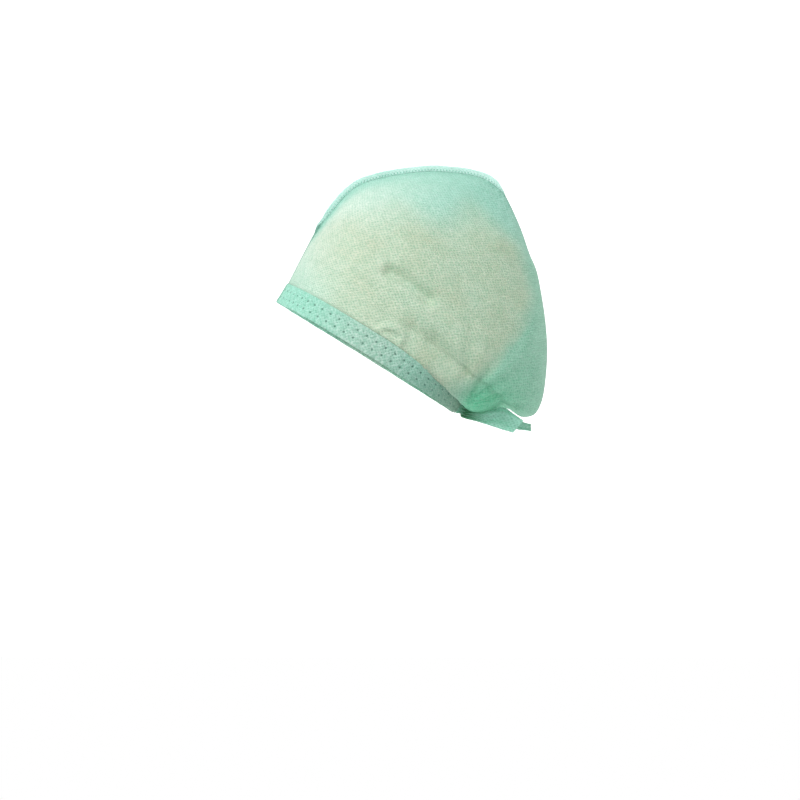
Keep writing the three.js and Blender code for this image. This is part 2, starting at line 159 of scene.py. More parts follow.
def creases(points: np.ndarray, wavelength: float, count: int, seed: int) -> np.ndarray:
    """Sum folded waves into a relief of sharp little ridges, as crumpled nonwoven has.

    Args:
        points: places, one per row in the last axis.
        wavelength: the middle distance between ridges.
        count: how many sets of ridges.
        seed: picks directions, phases and lengths.

    Returns:
        The relief's height, about -1 to 1.
    """
    rng = np.random.default_rng(SEED + seed)
    total = np.zeros(points.shape[:-1])
    for k in range(count):
        way = rng.normal(size=3)
        way *= math.pi / (np.linalg.norm(way) * wavelength * rng.uniform(0.7, 1.6))
        bend = 1.3 * undulation(points, wavelength * 3, 3, seed * 31 + k)
        total += 1 - 2 * np.abs(np.sin(points @ way + bend + rng.uniform(*ANY_PHASE)))
    return total / math.sqrt(count)


class SmoothLine:
    """A smooth line through points, read by its share of the length."""

    def __init__(self, points: list[np.ndarray], samples: int = 900) -> None:
        """Sample the line.

        Args:
            points: the places that it runs through.
            samples: how many short steps stand in for it.
        """
        given = np.array(points, dtype=float)
        padded = np.vstack([2 * given[0] - given[1], given, 2 * given[-1] - given[-2]])
        t = np.linspace(0, len(given) - 1, samples)
        i = np.minimum(t.astype(int), len(given) - 2)
        w = (t - i)[:, None]
        p = [padded[i + k] for k in range(4)]
        gaps = [np.sqrt(np.linalg.norm(p[k + 1] - p[k], axis=1))[:, None] for k in range(3)]
        start = (p[1] - p[0]) / gaps[0] - (p[2] - p[0]) / (gaps[0] + gaps[1]) + (p[2] - p[1]) / gaps[1]
        end = (p[2] - p[1]) / gaps[1] - (p[3] - p[1]) / (gaps[1] + gaps[2]) + (p[3] - p[2]) / gaps[2]
        start, end = start * gaps[1], end * gaps[1]
        self.by_station = t
        self.places = (
            p[1]
            + start * w
            + (-3 * p[1] + 3 * p[2] - 2 * start - end) * w**2
            + (2 * p[1] - 2 * p[2] + start + end) * w**3
        )
        steps = np.linalg.norm(np.diff(self.places, axis=0), axis=1)
        self.lengths = np.concatenate([[0.0], np.cumsum(steps)])
        self.total = self.lengths[-1]

    def at(self, share: np.ndarray | float) -> np.ndarray:
        """Return the places at shares of the line's length."""
        length = np.asarray(share) * self.total
        return np.stack([np.interp(length, self.lengths, self.places[:, k]) for k in range(3)], axis=-1)

    def stations(self, station: np.ndarray) -> np.ndarray:
        """Return the places at station numbers, which count the given points from 0."""
        return np.stack([np.interp(station, self.by_station, self.places[:, k]) for k in range(3)], axis=-1)


def through_rows(rows: list[dict[str, float]], column: str, around: np.ndarray) -> np.ndarray:
    """Run a smooth curve through a table's column, by its rows' around values.

    Args:
        rows: the table.
        column: the name of the column.
        around: the places to read.

    Returns:
        The column's value at each place.
    """
    at = np.array([row["around"] for row in rows])
    value = np.array([row[column] for row in rows])
    slope = np.empty_like(value)
    slope[1:-1] = (value[2:] - value[:-2]) / (at[2:] - at[:-2])
    slope[0] = (value[1] - value[0]) / (at[1] - at[0])
    slope[-1] = (value[-1] - value[-2]) / (at[-1] - at[-2])
    i = np.clip(np.searchsorted(at, around, side="right") - 1, 0, len(rows) - 2)
    span = at[i + 1] - at[i]
    t = (around - at[i]) / span
    t2, t3 = t * t, t * t * t
    return (
        (2 * t3 - 3 * t2 + 1) * value[i]
        + (t3 - 2 * t2 + t) * span * slope[i]
        + (3 * t2 - 2 * t3) * value[i + 1]
        + (t3 - t2) * span * slope[i + 1]
    )


def strip_place(along: np.ndarray, height: np.ndarray) -> np.ndarray:
    """Place the strip that the band covers, in the plane of symmetry.

    Args:
        along: 0 at the brow to 1 at the nape.
        height: 0 at the crown's edge to 1 at the band's top edge.

    Returns:
        The places, with Y left at 0.
    """
    narrowed = (BAND_WIDTH_AT_NAPE - BAND_WIDTH) * smoothstep(along, CRUMPLE_START, 1.0)
    tall = BAND_WIDTH + narrowed - FOLD_UNDER
    rise = EDGE_ARCH * 4 * along * (1 - along) + height * tall
    return BROW + (NAPE - BROW) * along[..., None] + FROM_OPENING * rise[..., None]


def along_opening(around: np.ndarray) -> np.ndarray:
    """Return how far along the opening a section stands, bunched towards both ends."""
    return (1 - BUNCHING) * around + BUNCHING * (1 - np.cos(math.pi * around)) / 2


@dataclass
class SheetMesh:
    """A grid of cloth, shaped from arrays that hold one value for each grid point."""

    name: str
    places: np.ndarray
    uv: np.ndarray
    tones: dict[str, np.ndarray] = field(default_factory=dict)

    def build(self, merge: bool = False, soft_from: float | None = None) -> bpy.types.Object:
        """Make the sheet's object.

        Args:
            merge: join the edges that lie on each other.
            soft_from: shade the plane of symmetry as a crease up to this X, in millimetres.

        Returns:
            The new object, linked to the scene.
        """
        rows, columns = self.places.shape[0] - 1, self.places.shape[1] - 1
        bm = bmesh.new()
        bmesh.ops.create_grid(bm, x_segments=columns, y_segments=rows, size=1.0)
        bm.verts.ensure_lookup_table()
        unit = np.array([v.co[:2] for v in bm.verts])
        column = np.rint((unit[:, 0] + 1) / 2 * columns).astype(int)
        row = np.rint((unit[:, 1] + 1) / 2 * rows).astype(int)
        places = self.places[row, column] * MM
        uv = self.uv[row, column] * MM
        uv_layer = bm.loops.layers.uv.new("flat")
        layers = {tone: bm.verts.layers.float.new(tone) for tone in self.tones}
        values = {tone: array[row, column] for tone, array in self.tones.items()}
        for k, vert in enumerate(bm.verts):
            vert.co = places[k]
            for tone, layer in layers.items():
                vert[layer] = values[tone][k]
        for face in bm.faces:
            face.smooth = True
            for loop in face.loops:
                loop[uv_layer].uv = uv[loop.vert.index]
        if merge:
            bmesh.ops.remove_doubles(bm, verts=bm.verts, dist=TINY)
        bmesh.ops.recalc_face_normals(bm, faces=bm.faces)
        if soft_from is not None:
            for edge in bm.edges:
                off_plane = any(abs(vert.co.y) > TINY for vert in edge.verts)
                edge.smooth = off_plane or edge.verts[0].co.x > soft_from * MM
        mesh = bpy.data.meshes.new(self.name)
        bm.to_mesh(mesh)
        bm.free()
        piece = bpy.data.objects.new(self.name, mesh)
        bpy.context.scene.collection.objects.link(piece)
        return piece


def thicken(piece: bpy.types.Object, thickness: float) -> None:
    """Give a sheet an even thickness about its middle.

    Args:
        piece: the sheet.
        thickness: in millimetres.
    """
    solid = piece.modifiers.new("ply", "SOLIDIFY")
    solid.thickness = thickness * MM
    solid.offset = 0.0
    solid.use_even_offset = False


def normals_of(places: np.ndarray) -> np.ndarray:
    """Work out the normals of a grid of places from its neighbours' differences.

    Args:
        places: the grid.

    Returns:
        Unit normals.
    """
    normal = np.cross(np.gradient(places, axis=1), np.gradient(places, axis=0))
    return normal / np.maximum(np.linalg.norm(normal, axis=-1, keepdims=True), TINY)


def flat_lengths(places: np.ndarray, axis: int, centre: int) -> np.ndarray:
    """Measure each grid point's distance along its grid line.

    Args:
        places: the grid.
        axis: 0 to measure along columns, 1 along rows.
        centre: the index on that axis that counts as 0.

    Returns:
        Signed lengths along the cloth, in millimetres.
    """
    steps = np.linalg.norm(np.diff(places, axis=axis), axis=-1)
    total = np.insert(np.cumsum(steps, axis=axis), 0, 0.0, axis=axis)
    return total - np.take(total, [centre], axis=axis)


def beside_line(places: np.ndarray, start: tuple[float, float],
                end: tuple[float, float]) -> tuple[np.ndarray, np.ndarray]:
    """Measure places against a line in the plane of symmetry.

    Args:
        places: the places.
        start: the line's lower end, as X and Z.
        end: its upper end.

    Returns:
        Each place's distance along the line from its lower end, and its distance below and behind the line.
    """
    foot, top = (np.array([x, 0.0, z]) for x, z in (start, end))
    way = (top - foot) / np.linalg.norm(top - foot)
    return (places - foot) @ way, (places - foot) @ np.array([way[2], 0.0, -way[0]])


def smoothed(grid: np.ndarray, reach: int) -> np.ndarray:
    """Take the small folds out of a grid of points.

    Args:
        grid: the points, by row and column.
        reach: how many neighbours each way count in a point's mean.

    Returns:
        The grid with each point at the mean of its neighbours, twice over both ways of the grid.
    """
    window = 2 * reach + 1
    for axis in (0, 1, 0, 1):
        margin = [(0, 0)] * grid.ndim
        margin[axis] = (reach, reach)
        wide = np.pad(grid, margin, mode="reflect", reflect_type="odd")
        total = np.cumsum(np.insert(wide, 0, 0.0, axis=axis), axis=axis)
        first = np.arange(grid.shape[axis])
        grid = (np.take(total, first + window, axis=axis) - np.take(total, first, axis=axis)) / window
    return grid


def laid_flat(places: np.ndarray, step: int = 5, rounds: int = 500, ease: float = 0.1) -> np.ndarray:
    """Lay a panel of cloth flat with as little stretch as its shape allows.

    The panel's side view is the first guess, and neighbouring points are then pushed to the distances that
    they have along the cloth.

    Args:
        places: the panel's grid.
        step: every how many grid points one is used.
        rounds: how many times the distances are corrected.
        ease: how far each point is drawn between its neighbours at first, so that no cloth folds over.

    Returns:
        Flat coordinates for each grid point, in millimetres.
    """
    rows, columns = places.shape[0] - 1, places.shape[1] - 1
    coarse = smoothed(places, step // 2 + 1)[::step, ::step]
    flat = coarse[..., [0, 2]].copy()
    # Each pair of slices names the two ends of the links that run one way over the grid.
    ways = [
        (np.s_[:-1, :], np.s_[1:, :]),
        (np.s_[:, :-1], np.s_[:, 1:]),
        (np.s_[:-1, :-1], np.s_[1:, 1:]),
        (np.s_[:-1, 1:], np.s_[1:, :-1]),
    ]
    wanted = [np.linalg.norm(coarse[b] - coarse[a], axis=-1) for a, b in ways]
    for turn in range(rounds):
        push = np.zeros_like(flat)
        share = np.zeros(flat.shape[:2])
        for (a, b), length in zip(ways, wanted):
            way = flat[b] - flat[a]
            now = np.maximum(np.linalg.norm(way, axis=-1), TINY)
            move = way * ((now - length) / now / 2)[..., None]
            push[a] += move
            push[b] -= move
            share[a] += 1
            share[b] += 1
        flat += push / share[..., None]
        between = (flat[:-2, 1:-1] + flat[2:, 1:-1] + flat[1:-1, :-2] + flat[1:-1, 2:]) / 4
        flat[1:-1, 1:-1] += (between - flat[1:-1, 1:-1]) * ease * (1 - turn / rounds)
    at_row, at_column = np.arange(rows + 1) / step, np.arange(columns + 1) / step
    r = np.minimum(at_row.astype(int), coarse.shape[0] - 2)
    c = np.minimum(at_column.astype(int), coarse.shape[1] - 2)
    tr, tc = (at_row - r)[:, None, None], (at_column - c)[None, :, None]
    return (
        flat[np.ix_(r, c)] * (1 - tr) * (1 - tc)
        + flat[np.ix_(r + 1, c)] * tr * (1 - tc)
        + flat[np.ix_(r, c + 1)] * (1 - tr) * tc
        + flat[np.ix_(r + 1, c + 1)] * tr * tc
    )


@dataclass
class Crown:
    """The creased sheet, with its pouch at the back."""

    back: float
    height: float
    half_width: float
    # The outline's lines in the plane of symmetry, by shares of the crown's reach back and of its height.
    front_crease: list[tuple[float, float]] = field(default_factory=lambda: [(-0.354, 0.552)])
    seam_start: tuple[float, float] = (-0.269, 0.707)
    top_seam: list[tuple[float, float]] = field(
        default_factory=lambda: [
            (-0.23, 0.738),
            (-0.187, 0.789),
            (-0.103, 0.881),
            (-0.023, 0.934),
            (0.06, 0.959),
            (0.189, 0.984),
            (0.362, 1.0),
            (0.45, 0.995),
            (0.577, 0.98),
            (0.657, 0.956),
        ]
    )
    seam_end: tuple[float, float] = (0.703, 0.928)
    back_fold: list[tuple[float, float]] = field(
        default_factory=lambda: [
            (0.757, 0.885),
            (0.79, 0.83),
            (0.855, 0.69),
            (0.902, 0.56),
            (0.94, 0.473),
            (0.963, 0.37),
            (0.99, 0.2),
            (1.0, 0.05),
            (0.99, -0.12),
            (0.967, -0.235),
            (0.93, -0.297),
            (0.888, -0.311),
            (0.852, -0.309),
            (0.815, -0.287),
            (0.78, -0.266),
            (0.72, -0.284),
            (0.65, -0.302),
            (0.597, -0.3),
            (0.562, -0.278),
        ]
    )
    # Half widths from the front crease (0) to the back fold (1), as shares of the largest: at the crown's
    # edge, at the band's top edge, and a third and two thirds of the way up to the seam.
    sections: list[dict[str, float]] = field(
        default_factory=lambda: [
            {"around": 0.0, "rim": 0.0, "band_top": 0.0, "low": 0.0, "high": 0.0},
            {"around": 0.1, "rim": 0.3, "band_top": 0.29, "low": 0.25, "high": 0.16},
            {"around": 0.2, "rim": 0.63, "band_top": 0.62, "low": 0.55, "high": 0.38},
            {"around": 0.3, "rim": 0.84, "band_top": 0.84, "low": 0.8, "high": 0.59},
            {"around": 0.4, "rim": 0.95, "band_top": 0.96, "low": 0.95, "high": 0.75},
            {"around": 0.5, "rim": 0.98, "band_top": 1.0, "low": 1.0, "high": 0.81},
            {"around": 0.6, "rim": 0.93, "band_top": 0.97, "low": 0.96, "high": 0.76},
            {"around": 0.7, "rim": 0.79, "band_top": 0.88, "low": 0.83, "high": 0.64},
            {"around": 0.8, "rim": 0.59, "band_top": 0.73, "low": 0.64, "high": 0.47},
            {"around": 0.9, "rim": 0.36, "band_top": 0.47, "low": 0.38, "high": 0.27},
            {"around": 1.0, "rim": 0.0, "band_top": 0.0, "low": 0.0, "high": 0.0},
        ]
    )
    # Soft dents: the places that each runs through, as around and up, with its depth and width in mm. One of
    # negative depth is a soft ridge.
    dents: list[tuple[list[tuple[float, float]], float, float]] = field(
        default_factory=lambda: [
            ([(0.9, 0.02), (0.74, 0.3)], 2.3, 7.0),
            ([(0.93, 0.05), (0.86, 0.34)], 1.5, 6.5),
            ([(0.84, 0.01), (0.62, 0.16)], 2.6, 7.0),
            ([(0.97, 0.28), (0.8, 0.24)], 1.8, 8.0),
            ([(0.455, 0.4), (0.5, 0.388), (0.555, 0.355)], 6.2, 5.4),
            ([(0.56, 0.17), (0.62, 0.2), (0.74, 0.16)], 3.7, 7.6),
            ([(0.84, 0.467), (0.787, 0.337), (0.75, 0.25), (0.83, 0.08)], 2.4, 5.2),
            ([(0.3, 0.62), (0.42, 0.5)], 1.2, 13.0),
            ([(0.62, 0.66), (0.7, 0.82)], 1.3, 12.0),
            ([(0.91, 0.17), (0.91, 0.25)], 2.4, 3.6),
            ([(0.49, 0.02), (0.499, 0.09), (0.524, 0.118), (0.553, 0.11), (0.572, 0.04)], -3.0, 2.6),
        ]
    )
    # Pleats that fan out from the knot: direction and half spread in degrees, depth and reach in mm. One of
    # negative depth stands out as a ridge.
    pleats: list[tuple[float, float, float, float]] = field(
        default_factory=lambda: [
            (2.0, 5.7, 1.44, 42.0),
            (11.0, 6.08, -1.44, 55.0),
            (19.0, 6.84, 2.16, 70.0),
            (30.0, 7.6, -1.44, 62.0),
            (39.0, 7.98, 2.4, 88.0),
            (52.0, 8.74, -1.2, 60.0),
            (63.0, 8.36, 2.28, 84.0),
            (78.0, 9.5, -1.08, 56.0),
            (92.0, 9.88, 1.68, 66.0),
            (112.0, 10.64, 1.2, 52.0),
            (131.0, 7.6, 1.08, 60.0),
        ]
    )
    # How far below the band's top edge at the nape the pleats and the gather's deeper green and painted
    # shade start.
    pleat_drop: float = 6.0
    gather_drop: float = 4.0
    gather_size: float = 25.0
    # The short crease under the pouch, as X and Z, and how deep the cloth is tucked in below it.
    tuck_crease: tuple[tuple[float, float], tuple[float, float]] = ((124.4, -41.4), (143.0, -35.4))
    tuck_depth: float = 2.3
    # Puckers along the band and finer ones along the seam: how deep, how long and how far they reach, in mm.
    band_pucker: float = 0.75
    band_pucker_lengths: tuple[float, ...] = (11.0, 7.3, 17.0)
    band_pucker_reach: float = 13.0
    seam_pucker: float = 0.35
    seam_pucker_lengths: tuple[float, ...] = (8.2, 12.5, 5.6)
    seam_pucker_reach: float = 8.0
    # Broad swells, the soft creases between them and the fine crumple all over: how deep and how long.
    swell: float = 1.3
    swell_length: float = 62.0
    soft_crease: float = 0.45
    soft_crease_length: float = 24.0
    crumple: float = 0.1
    crumple_length: float = 8.0
    # The cloth is drawn taut inside this circle, as X, Z and radius, and in front of this line.
    taut_middle: tuple[float, float] = (42.6, 60.4)
    taut_radius: float = 100.0
    taut_back: tuple[tuple[float, float], tuple[float, float]] = ((87.5, -36.4), (139.4, 32.2))
    # The middle of the painted light, the brightest place high at the front, as X and Z, and how far it
    # reaches.
    painted_light_middle: tuple[float, float] = (-22.0, 104.0)
    painted_light_reach: float = 66.0
    # The right side's folds are drawn as from places this far off, so they differ from the left side's.
    far_side: float = 400.0
    # About how tall a panel is above the band, and how much longer the band is than its side view.
    panel_height: float = 150.0
    rim_stretch: float = 1.35
    # The share of a panel's rows that stand above the band. The rest lie under it.
    uncovered: float = 0.94

    def __post_init__(self) -> None:
        """Draw the outline's lines in the plane of symmetry."""
        start, end = self.outline(self.seam_start), self.outline(self.seam_end)
        self.crease = SmoothLine([BROW_TOP, *map(self.outline, self.front_crease), start])
        self.seam = SmoothLine([start, *map(self.outline, self.top_seam), end])
        self.fold = SmoothLine([end, *map(self.outline, self.back_fold), NAPE_TOP])

    def outline(self, share: tuple[float, float]) -> np.ndarray:
        """Return a place in the plane of symmetry from its shares back and up."""
        return np.array([share[0] * self.back, 0.0, share[1] * self.height])

    def crown_place(self, around: np.ndarray, up: np.ndarray) -> np.ndarray:
        """Place a point above the band in the plane of symmetry.

        Args:
            around: 0 at the front crease to 1 at the back fold.
            up: 0 at the band's top edge to 1 at the seam.

        Returns:
            The places, with Y left at 0.
        """
        along = along_opening(around)[..., None]
        rise = up[..., None]
        edge = strip_place(along[..., 0], np.ones_like(up))
        place = edge + (self.seam.at(along[..., 0]) - edge) * rise
        start, end = self.seam.at(0.0), self.seam.at(1.0)
        crease_pull = self.crease.at(up) - (BROW_TOP + (start - BROW_TOP) * rise)
        back_pull = self.fold.at(1 - up) - (NAPE_TOP + (end - NAPE_TOP) * rise)
        return place + crease_pull * (1 - along) + back_pull * along**1.8

    def surface(self, around: np.ndarray, up: np.ndarray, sign: np.ndarray) -> np.ndarray:
        """Place points of the smooth crown.

        Args:
            around: 0 at the front crease to 1 at the back fold.
            up: -1 at the edge, 0 at the band's top edge, 1 at the seam.
            sign: -1 on the left side, 1 on the right.

        Returns:
            The places.
        """
        above = np.maximum(up, 0.0)
        place = np.where((up > 0)[..., None], self.crown_place(around, above),
                         strip_place(along_opening(around), 1 + np.minimum(up, 0.0)))
        rim, band_top, low, high = (
            through_rows(self.sections, name, around) for name in ("rim", "band_top", "low", "high")
        )
        # A cubic through the half widths at the band, a third and two thirds up, and none at the seam.
        p = 3 * above
        half = (
            -band_top * (p - 1) * (p - 2) * (p - 3) / 6
            + low * p * (p - 2) * (p - 3) / 2
            - high * p * (p - 1) * (p - 3) / 2
        )
        half = np.where(up > 0, half, band_top + (rim - band_top) * np.minimum(-up, 1.0)) * self.half_width
        dent = np.zeros_like(half)
        for path, depth, width in self.dents:
            bends = self.crown_place(*np.array(path).T)
            away = np.full_like(half, np.inf)
            for first, last in zip(bends[:-1], bends[1:]):
                way = last - first
                t = np.clip(((place - first) @ way) / (way @ way), 0.0, 1.0)
                away = np.minimum(away, np.linalg.norm(place - first - t[..., None] * way, axis=-1))
            dent += depth * bell(away, width)
        # The dents fade out towards the panel's edges.
        limits = [np.ones_like(up), 9 * above, 5 * (1 - above), 6 * (1 - around), 6 * around]
        edges = np.minimum.reduce(limits)
        place[..., 1] = sign * (half - np.minimum(dent * edges, 0.4 * half))
        return place

    def pleated(self, places: np.ndarray, sign: np.ndarray) -> np.ndarray:
        """Work out how deep the pleats are that fan out from the knot.

        Args:
            places: the smooth crown.
            sign: as in surface.

        Returns:
            The depth in millimetres, inwards.
        """
        flat = places - (NAPE_TOP - FROM_OPENING * self.pleat_drop)
        reach = np.hypot(flat[..., 0], flat[..., 2])
        # The pleats waver by 5 degrees on their way out.
        angle = np.degrees(np.arctan2(flat[..., 2], flat[..., 0])) + 5 * np.sin(reach / 26 + sign)
        depth = np.zeros_like(reach)
        for k, (way, spread, deep, far) in enumerate(self.pleats):
            # Those on the right run a few degrees off those on the left.
            turned = way + (3.5 * math.sin(2.1 * k) + 3) * (sign > 0)
            grown = spread * (1 + 8 / np.maximum(reach, 8.0))
            tent = np.maximum(0.0, 1 - np.abs(angle - turned) / grown)
            depth += deep * tent**1.35 * bell(reach, far)
        return depth * smoothstep(reach, 2.0, 18.0)

    def tucked(self, places: np.ndarray) -> np.ndarray:
        """Work out how deep the pouch's lowest part is tucked in under its short crease.

        Args:
            places: the smooth crown.

        Returns:
            The depth in millimetres, inwards.
        """
        run, below = beside_line(places, *self.tuck_crease)
        ends = smoothstep(run, -4.0, 4.0) * smoothstep(math.dist(*self.tuck_crease) + 5 - run, 0.0, 6.0)
        return self.tuck_depth * ends * smoothstep(below, -0.6, 1.6) * smoothstep(16 - below, 0.0, 12.0)

    def relief(self, places: np.ndarray, around: np.ndarray, up: np.ndarray, sign: np.ndarray,
               ridge: np.ndarray, rim: np.ndarray) -> np.ndarray:
        """Work out how far the worn cloth stands in from the smooth crown.

        Args:
            places: the smooth crown.
            around: as in surface.
            up: as in surface.
            sign: as in surface.
            ridge: each point's distance down from the seam, along the cloth.
            rim: each point's distance along the band.

        Returns:
            The depth in millimetres, inwards.
        """
        side_places = places + ACROSS * self.far_side * (sign[..., None] > 0)
        depth = self.pleated(places, sign) + self.tucked(places)
        # Puckers along the band, deeper towards the back, and finer ones along the seam. The two sides read
        # the same ripple at places far apart, so that they differ.
        above_band = np.maximum(up, 0.0) * self.panel_height
        slack = 0.2 + 1.0 * smoothstep(around, 0.45, 0.95)
        wave = ripple(rim + 40 * sign, self.band_pucker_lengths, 1)
        depth += slack * self.band_pucker * wave * bell(above_band, self.band_pucker_reach)
        wave = ripple(rim * 1.3 + 90 * sign, self.seam_pucker_lengths, 2)
        depth += self.seam_pucker * wave * bell(ridge, self.seam_pucker_reach)
        # Broad swells and creases, deeper towards the back, and a fine crumple all over.
        slack = 0.35 + 0.65 * smoothstep(around, 0.6, 0.95)
        depth += self.swell * slack * undulation(side_places, self.swell_length, 7, 3)
        depth += self.soft_crease * slack * creases(side_places, self.soft_crease_length, 5, 4)
        depth += self.crumple * creases(side_places, self.crumple_length, 4, 5)
        fade = np.minimum.reduce([np.ones_like(up), 14 * around, 9 * (1 - around), ridge / 7])
        return depth * fade * smoothstep(up, -0.01, 0.06)

    def tones(self, places: np.ndarray, ridge: np.ndarray, from_crease: np.ndarray) -> dict[str, np.ndarray]:
        """Work out how the finish changes over the cloth.

        Args:
            places: the smooth crown.
            ridge: each point's distance down from the seam, along the cloth.
            from_crease: each point's distance from the front crease, along the cloth.

        Returns:
            taut: 1 where the cloth is drawn round and its fibres thin out, 0 where it hangs slack.
            pale: 1 high at the front, where painted light makes the cloth brighter.
            hanging: 1 in the pouch, more so low down, where painted shade makes the cloth a little darker.
            gather: 1 at the knot, where the cloth is bunched and deeper green, partly as painted shade.
            pressed: 1 along the front crease and the back fold, where painted shade darkens the cloth.
        """
        x, z = places[..., 0], places[..., 2]
        away = np.hypot(x - self.taut_middle[0], z - self.taut_middle[1]) / self.taut_radius
        loose = smoothstep(away + 0.03 * undulation(places, 45.0, 5, 6), 0.84, 1.08)
        # Low at the back the cloth hangs free behind a line from the pouch's middle to the knot.
        _, beyond = beside_line(places, *self.taut_back)
        loose = np.maximum(loose, smoothstep(beyond + 1.2 * undulation(places, 30.0, 5, 8), -2.5, 5.0))
        front = smoothstep(x, -55.0, -5.0)
        high = 1 - smoothstep(z + 8 * undulation(places, 60.0, 5, 7), 96.0, 134.0)
        knot = NAPE_TOP - FROM_OPENING * self.gather_drop
        # The gather reaches 1.6 times as far behind the knot as before it.
        behind = (x - knot[0]) / np.where(x > knot[0], 1.6, 1.0)
        near = np.hypot(behind, (z - knot[2]) / 0.85)
        to_fold = from_crease[:, -1:] - from_crease
        # Painted shade darkens the front crease over a strip that widens towards its top.
        wide = 1.8 + 0.034 * np.maximum(z, 0.0)
        bright = np.hypot(x - self.painted_light_middle[0], z - self.painted_light_middle[1])
        return {
            "taut": (1 - loose) * (0.3 + 0.7 * front) * high,
            # painted light: a paler, brighter pool high at the front
            "pale": bell(bright, self.painted_light_reach) * smoothstep(ridge, 4.0, 34.0),
            # painted shade: the slack pouch is drawn a little darker, more so low down
            "hanging": loose * smoothstep(z, 140.0, 60.0),
            # deeper green about the knot: the bunched cloth's layers and painted shade
            "gather": bell(near, self.gather_size) * smoothstep(beyond, -12.0, 5.0),
            # painted shade along the front crease and the back fold
            "pressed": np.maximum(1 - smoothstep(from_crease / wide, 0.3, 1.5), 0.6 * bell(to_fold, 3.0)),
        }

    def close(self, places: np.ndarray) -> None:
        """Bring a grid's front crease, back fold and ridge onto the plane of symmetry."""
        places[:, [0, -1], 1] = 0.0
        places[places.shape[0] // 2, :, 1] = 0.0

    def build(self) -> bpy.types.Object:
        """Make the crown's sheet, replace its solid and dress it.

        Returns:
            The cloth.
        """
        columns, rows = 240, 200
        around, down = np.meshgrid(np.linspace(0, 1, columns + 1), np.linspace(-1, 1, rows + 1))
        sign = np.where(down < 0, -1.0, 1.0)
        share = np.abs(down)
        above = np.maximum(1 - share / self.uncovered, 0.0) ** 1.12
        up = np.where(share < self.uncovered, above, -(share - self.uncovered) / (1 - self.uncovered))
        places = self.surface(around, up, sign)
        self.close(places)
        ridge = np.abs(flat_lengths(places, 0, rows // 2))
        rim = flat_lengths(strip_place(along_opening(around), np.ones_like(up)), 1, 0) * self.rim_stretch
        depth = self.relief(places, around, up, sign, ridge, rim)
        normal = normals_of(places)
        outward = np.where(sign * normal[..., 1] < 0, -1.0, 1.0)
        moved = places - normal * (outward * depth)[..., None]
        self.close(moved)
        panel = laid_flat(places[: rows // 2 + 1])
        uv = np.concatenate([panel, panel[-2::-1]], axis=0)
        tones = self.tones(places, ridge, flat_lengths(places, 1, 0))
        piece = SheetMesh("crown_cloth", moved, uv, tones).build(merge=True, soft_from=140.0)
        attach(piece, "root")
        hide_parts("crown")
        piece.data.materials.append(SpunbondPly("crown_spunbond").build())
        return piece


@dataclass
class TopSeam:
    """The crown's welded seam allowance, two plies that stand along the ridge."""

    crown: Crown
    height: float = 5.0
    # How far its height varies, how far it sways and puckers sideways, and how far its plies part.
    unevenness: float = 0.25
    sway: float = 0.9
    pucker: float = 0.22
    spread: float = 0.55
    ply: float = 0.35

    def root_line(self) -> SmoothLine:
        """Draw the weld's line: the ridge, with a short run-out down the crease and down the back fold.

        Returns:
            The line.
        """
        crease, seam, fold = self.crown.crease, self.crown.seam, self.crown.fold
        run_in = crease.at(np.array([0.9, 0.95]))
        run_out = fold.at(np.array([0.02, 0.035, 0.05]))
        return SmoothLine([*run_in, *seam.at(np.linspace(0, 1, 46)), *run_out], 3000)

    def build(self) -> bpy.types.Object:
        """Make the two plies as one sheet folded at the weld.

        Returns:
            The seam.
        """
        columns, rows = 440, 16
        share, over = np.meshgrid(np.linspace(0, 1, columns + 1), np.linspace(-1, 1, rows + 1))
        line = self.root_line()
        root = line.at(share)
        tangent = np.gradient(root, axis=1)
        tangent /= np.linalg.norm(tangent, axis=-1, keepdims=True)
        away = np.stack([-tangent[..., 2], 0 * share, tangent[..., 0]], axis=-1)
        length = share * line.total
        # The seam rises out of the crease and runs out into the back fold.
        ends = smoothstep(share, -0.02, 0.13) * smoothstep(1 - share, -0.01, 0.085)
        tall = (self.height + self.unevenness * ripple(length, (23.0, 9.0, 41.0), 8)) * ends
        up = np.abs(over)
        sideways = self.sway * ripple(length, (58.0, 33.0, 90.0), 9) * up**1.4
        parting = 1 + 0.6 * ripple(length, (19.0, 31.0), 10)
        sideways = sideways + np.sign(over) * self.spread * up**1.5 * parting
        sideways = sideways + self.pucker * ripple(length, (6.4, 9.5, 4.2), 11) * up * (1.3 - up)
        places = root + away * (up * tall)[..., None] + ACROSS * sideways[..., None]
        uv = np.stack([length, over * self.height], axis=-1)
        piece = SheetMesh("top_seam_plies", places, uv).build()
        thicken(piece, self.ply)
        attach(piece, "root")
        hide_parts("top_seam")
        piece.data.materials.append(WeldedSeamPly("welded_seam").build())
        return piece


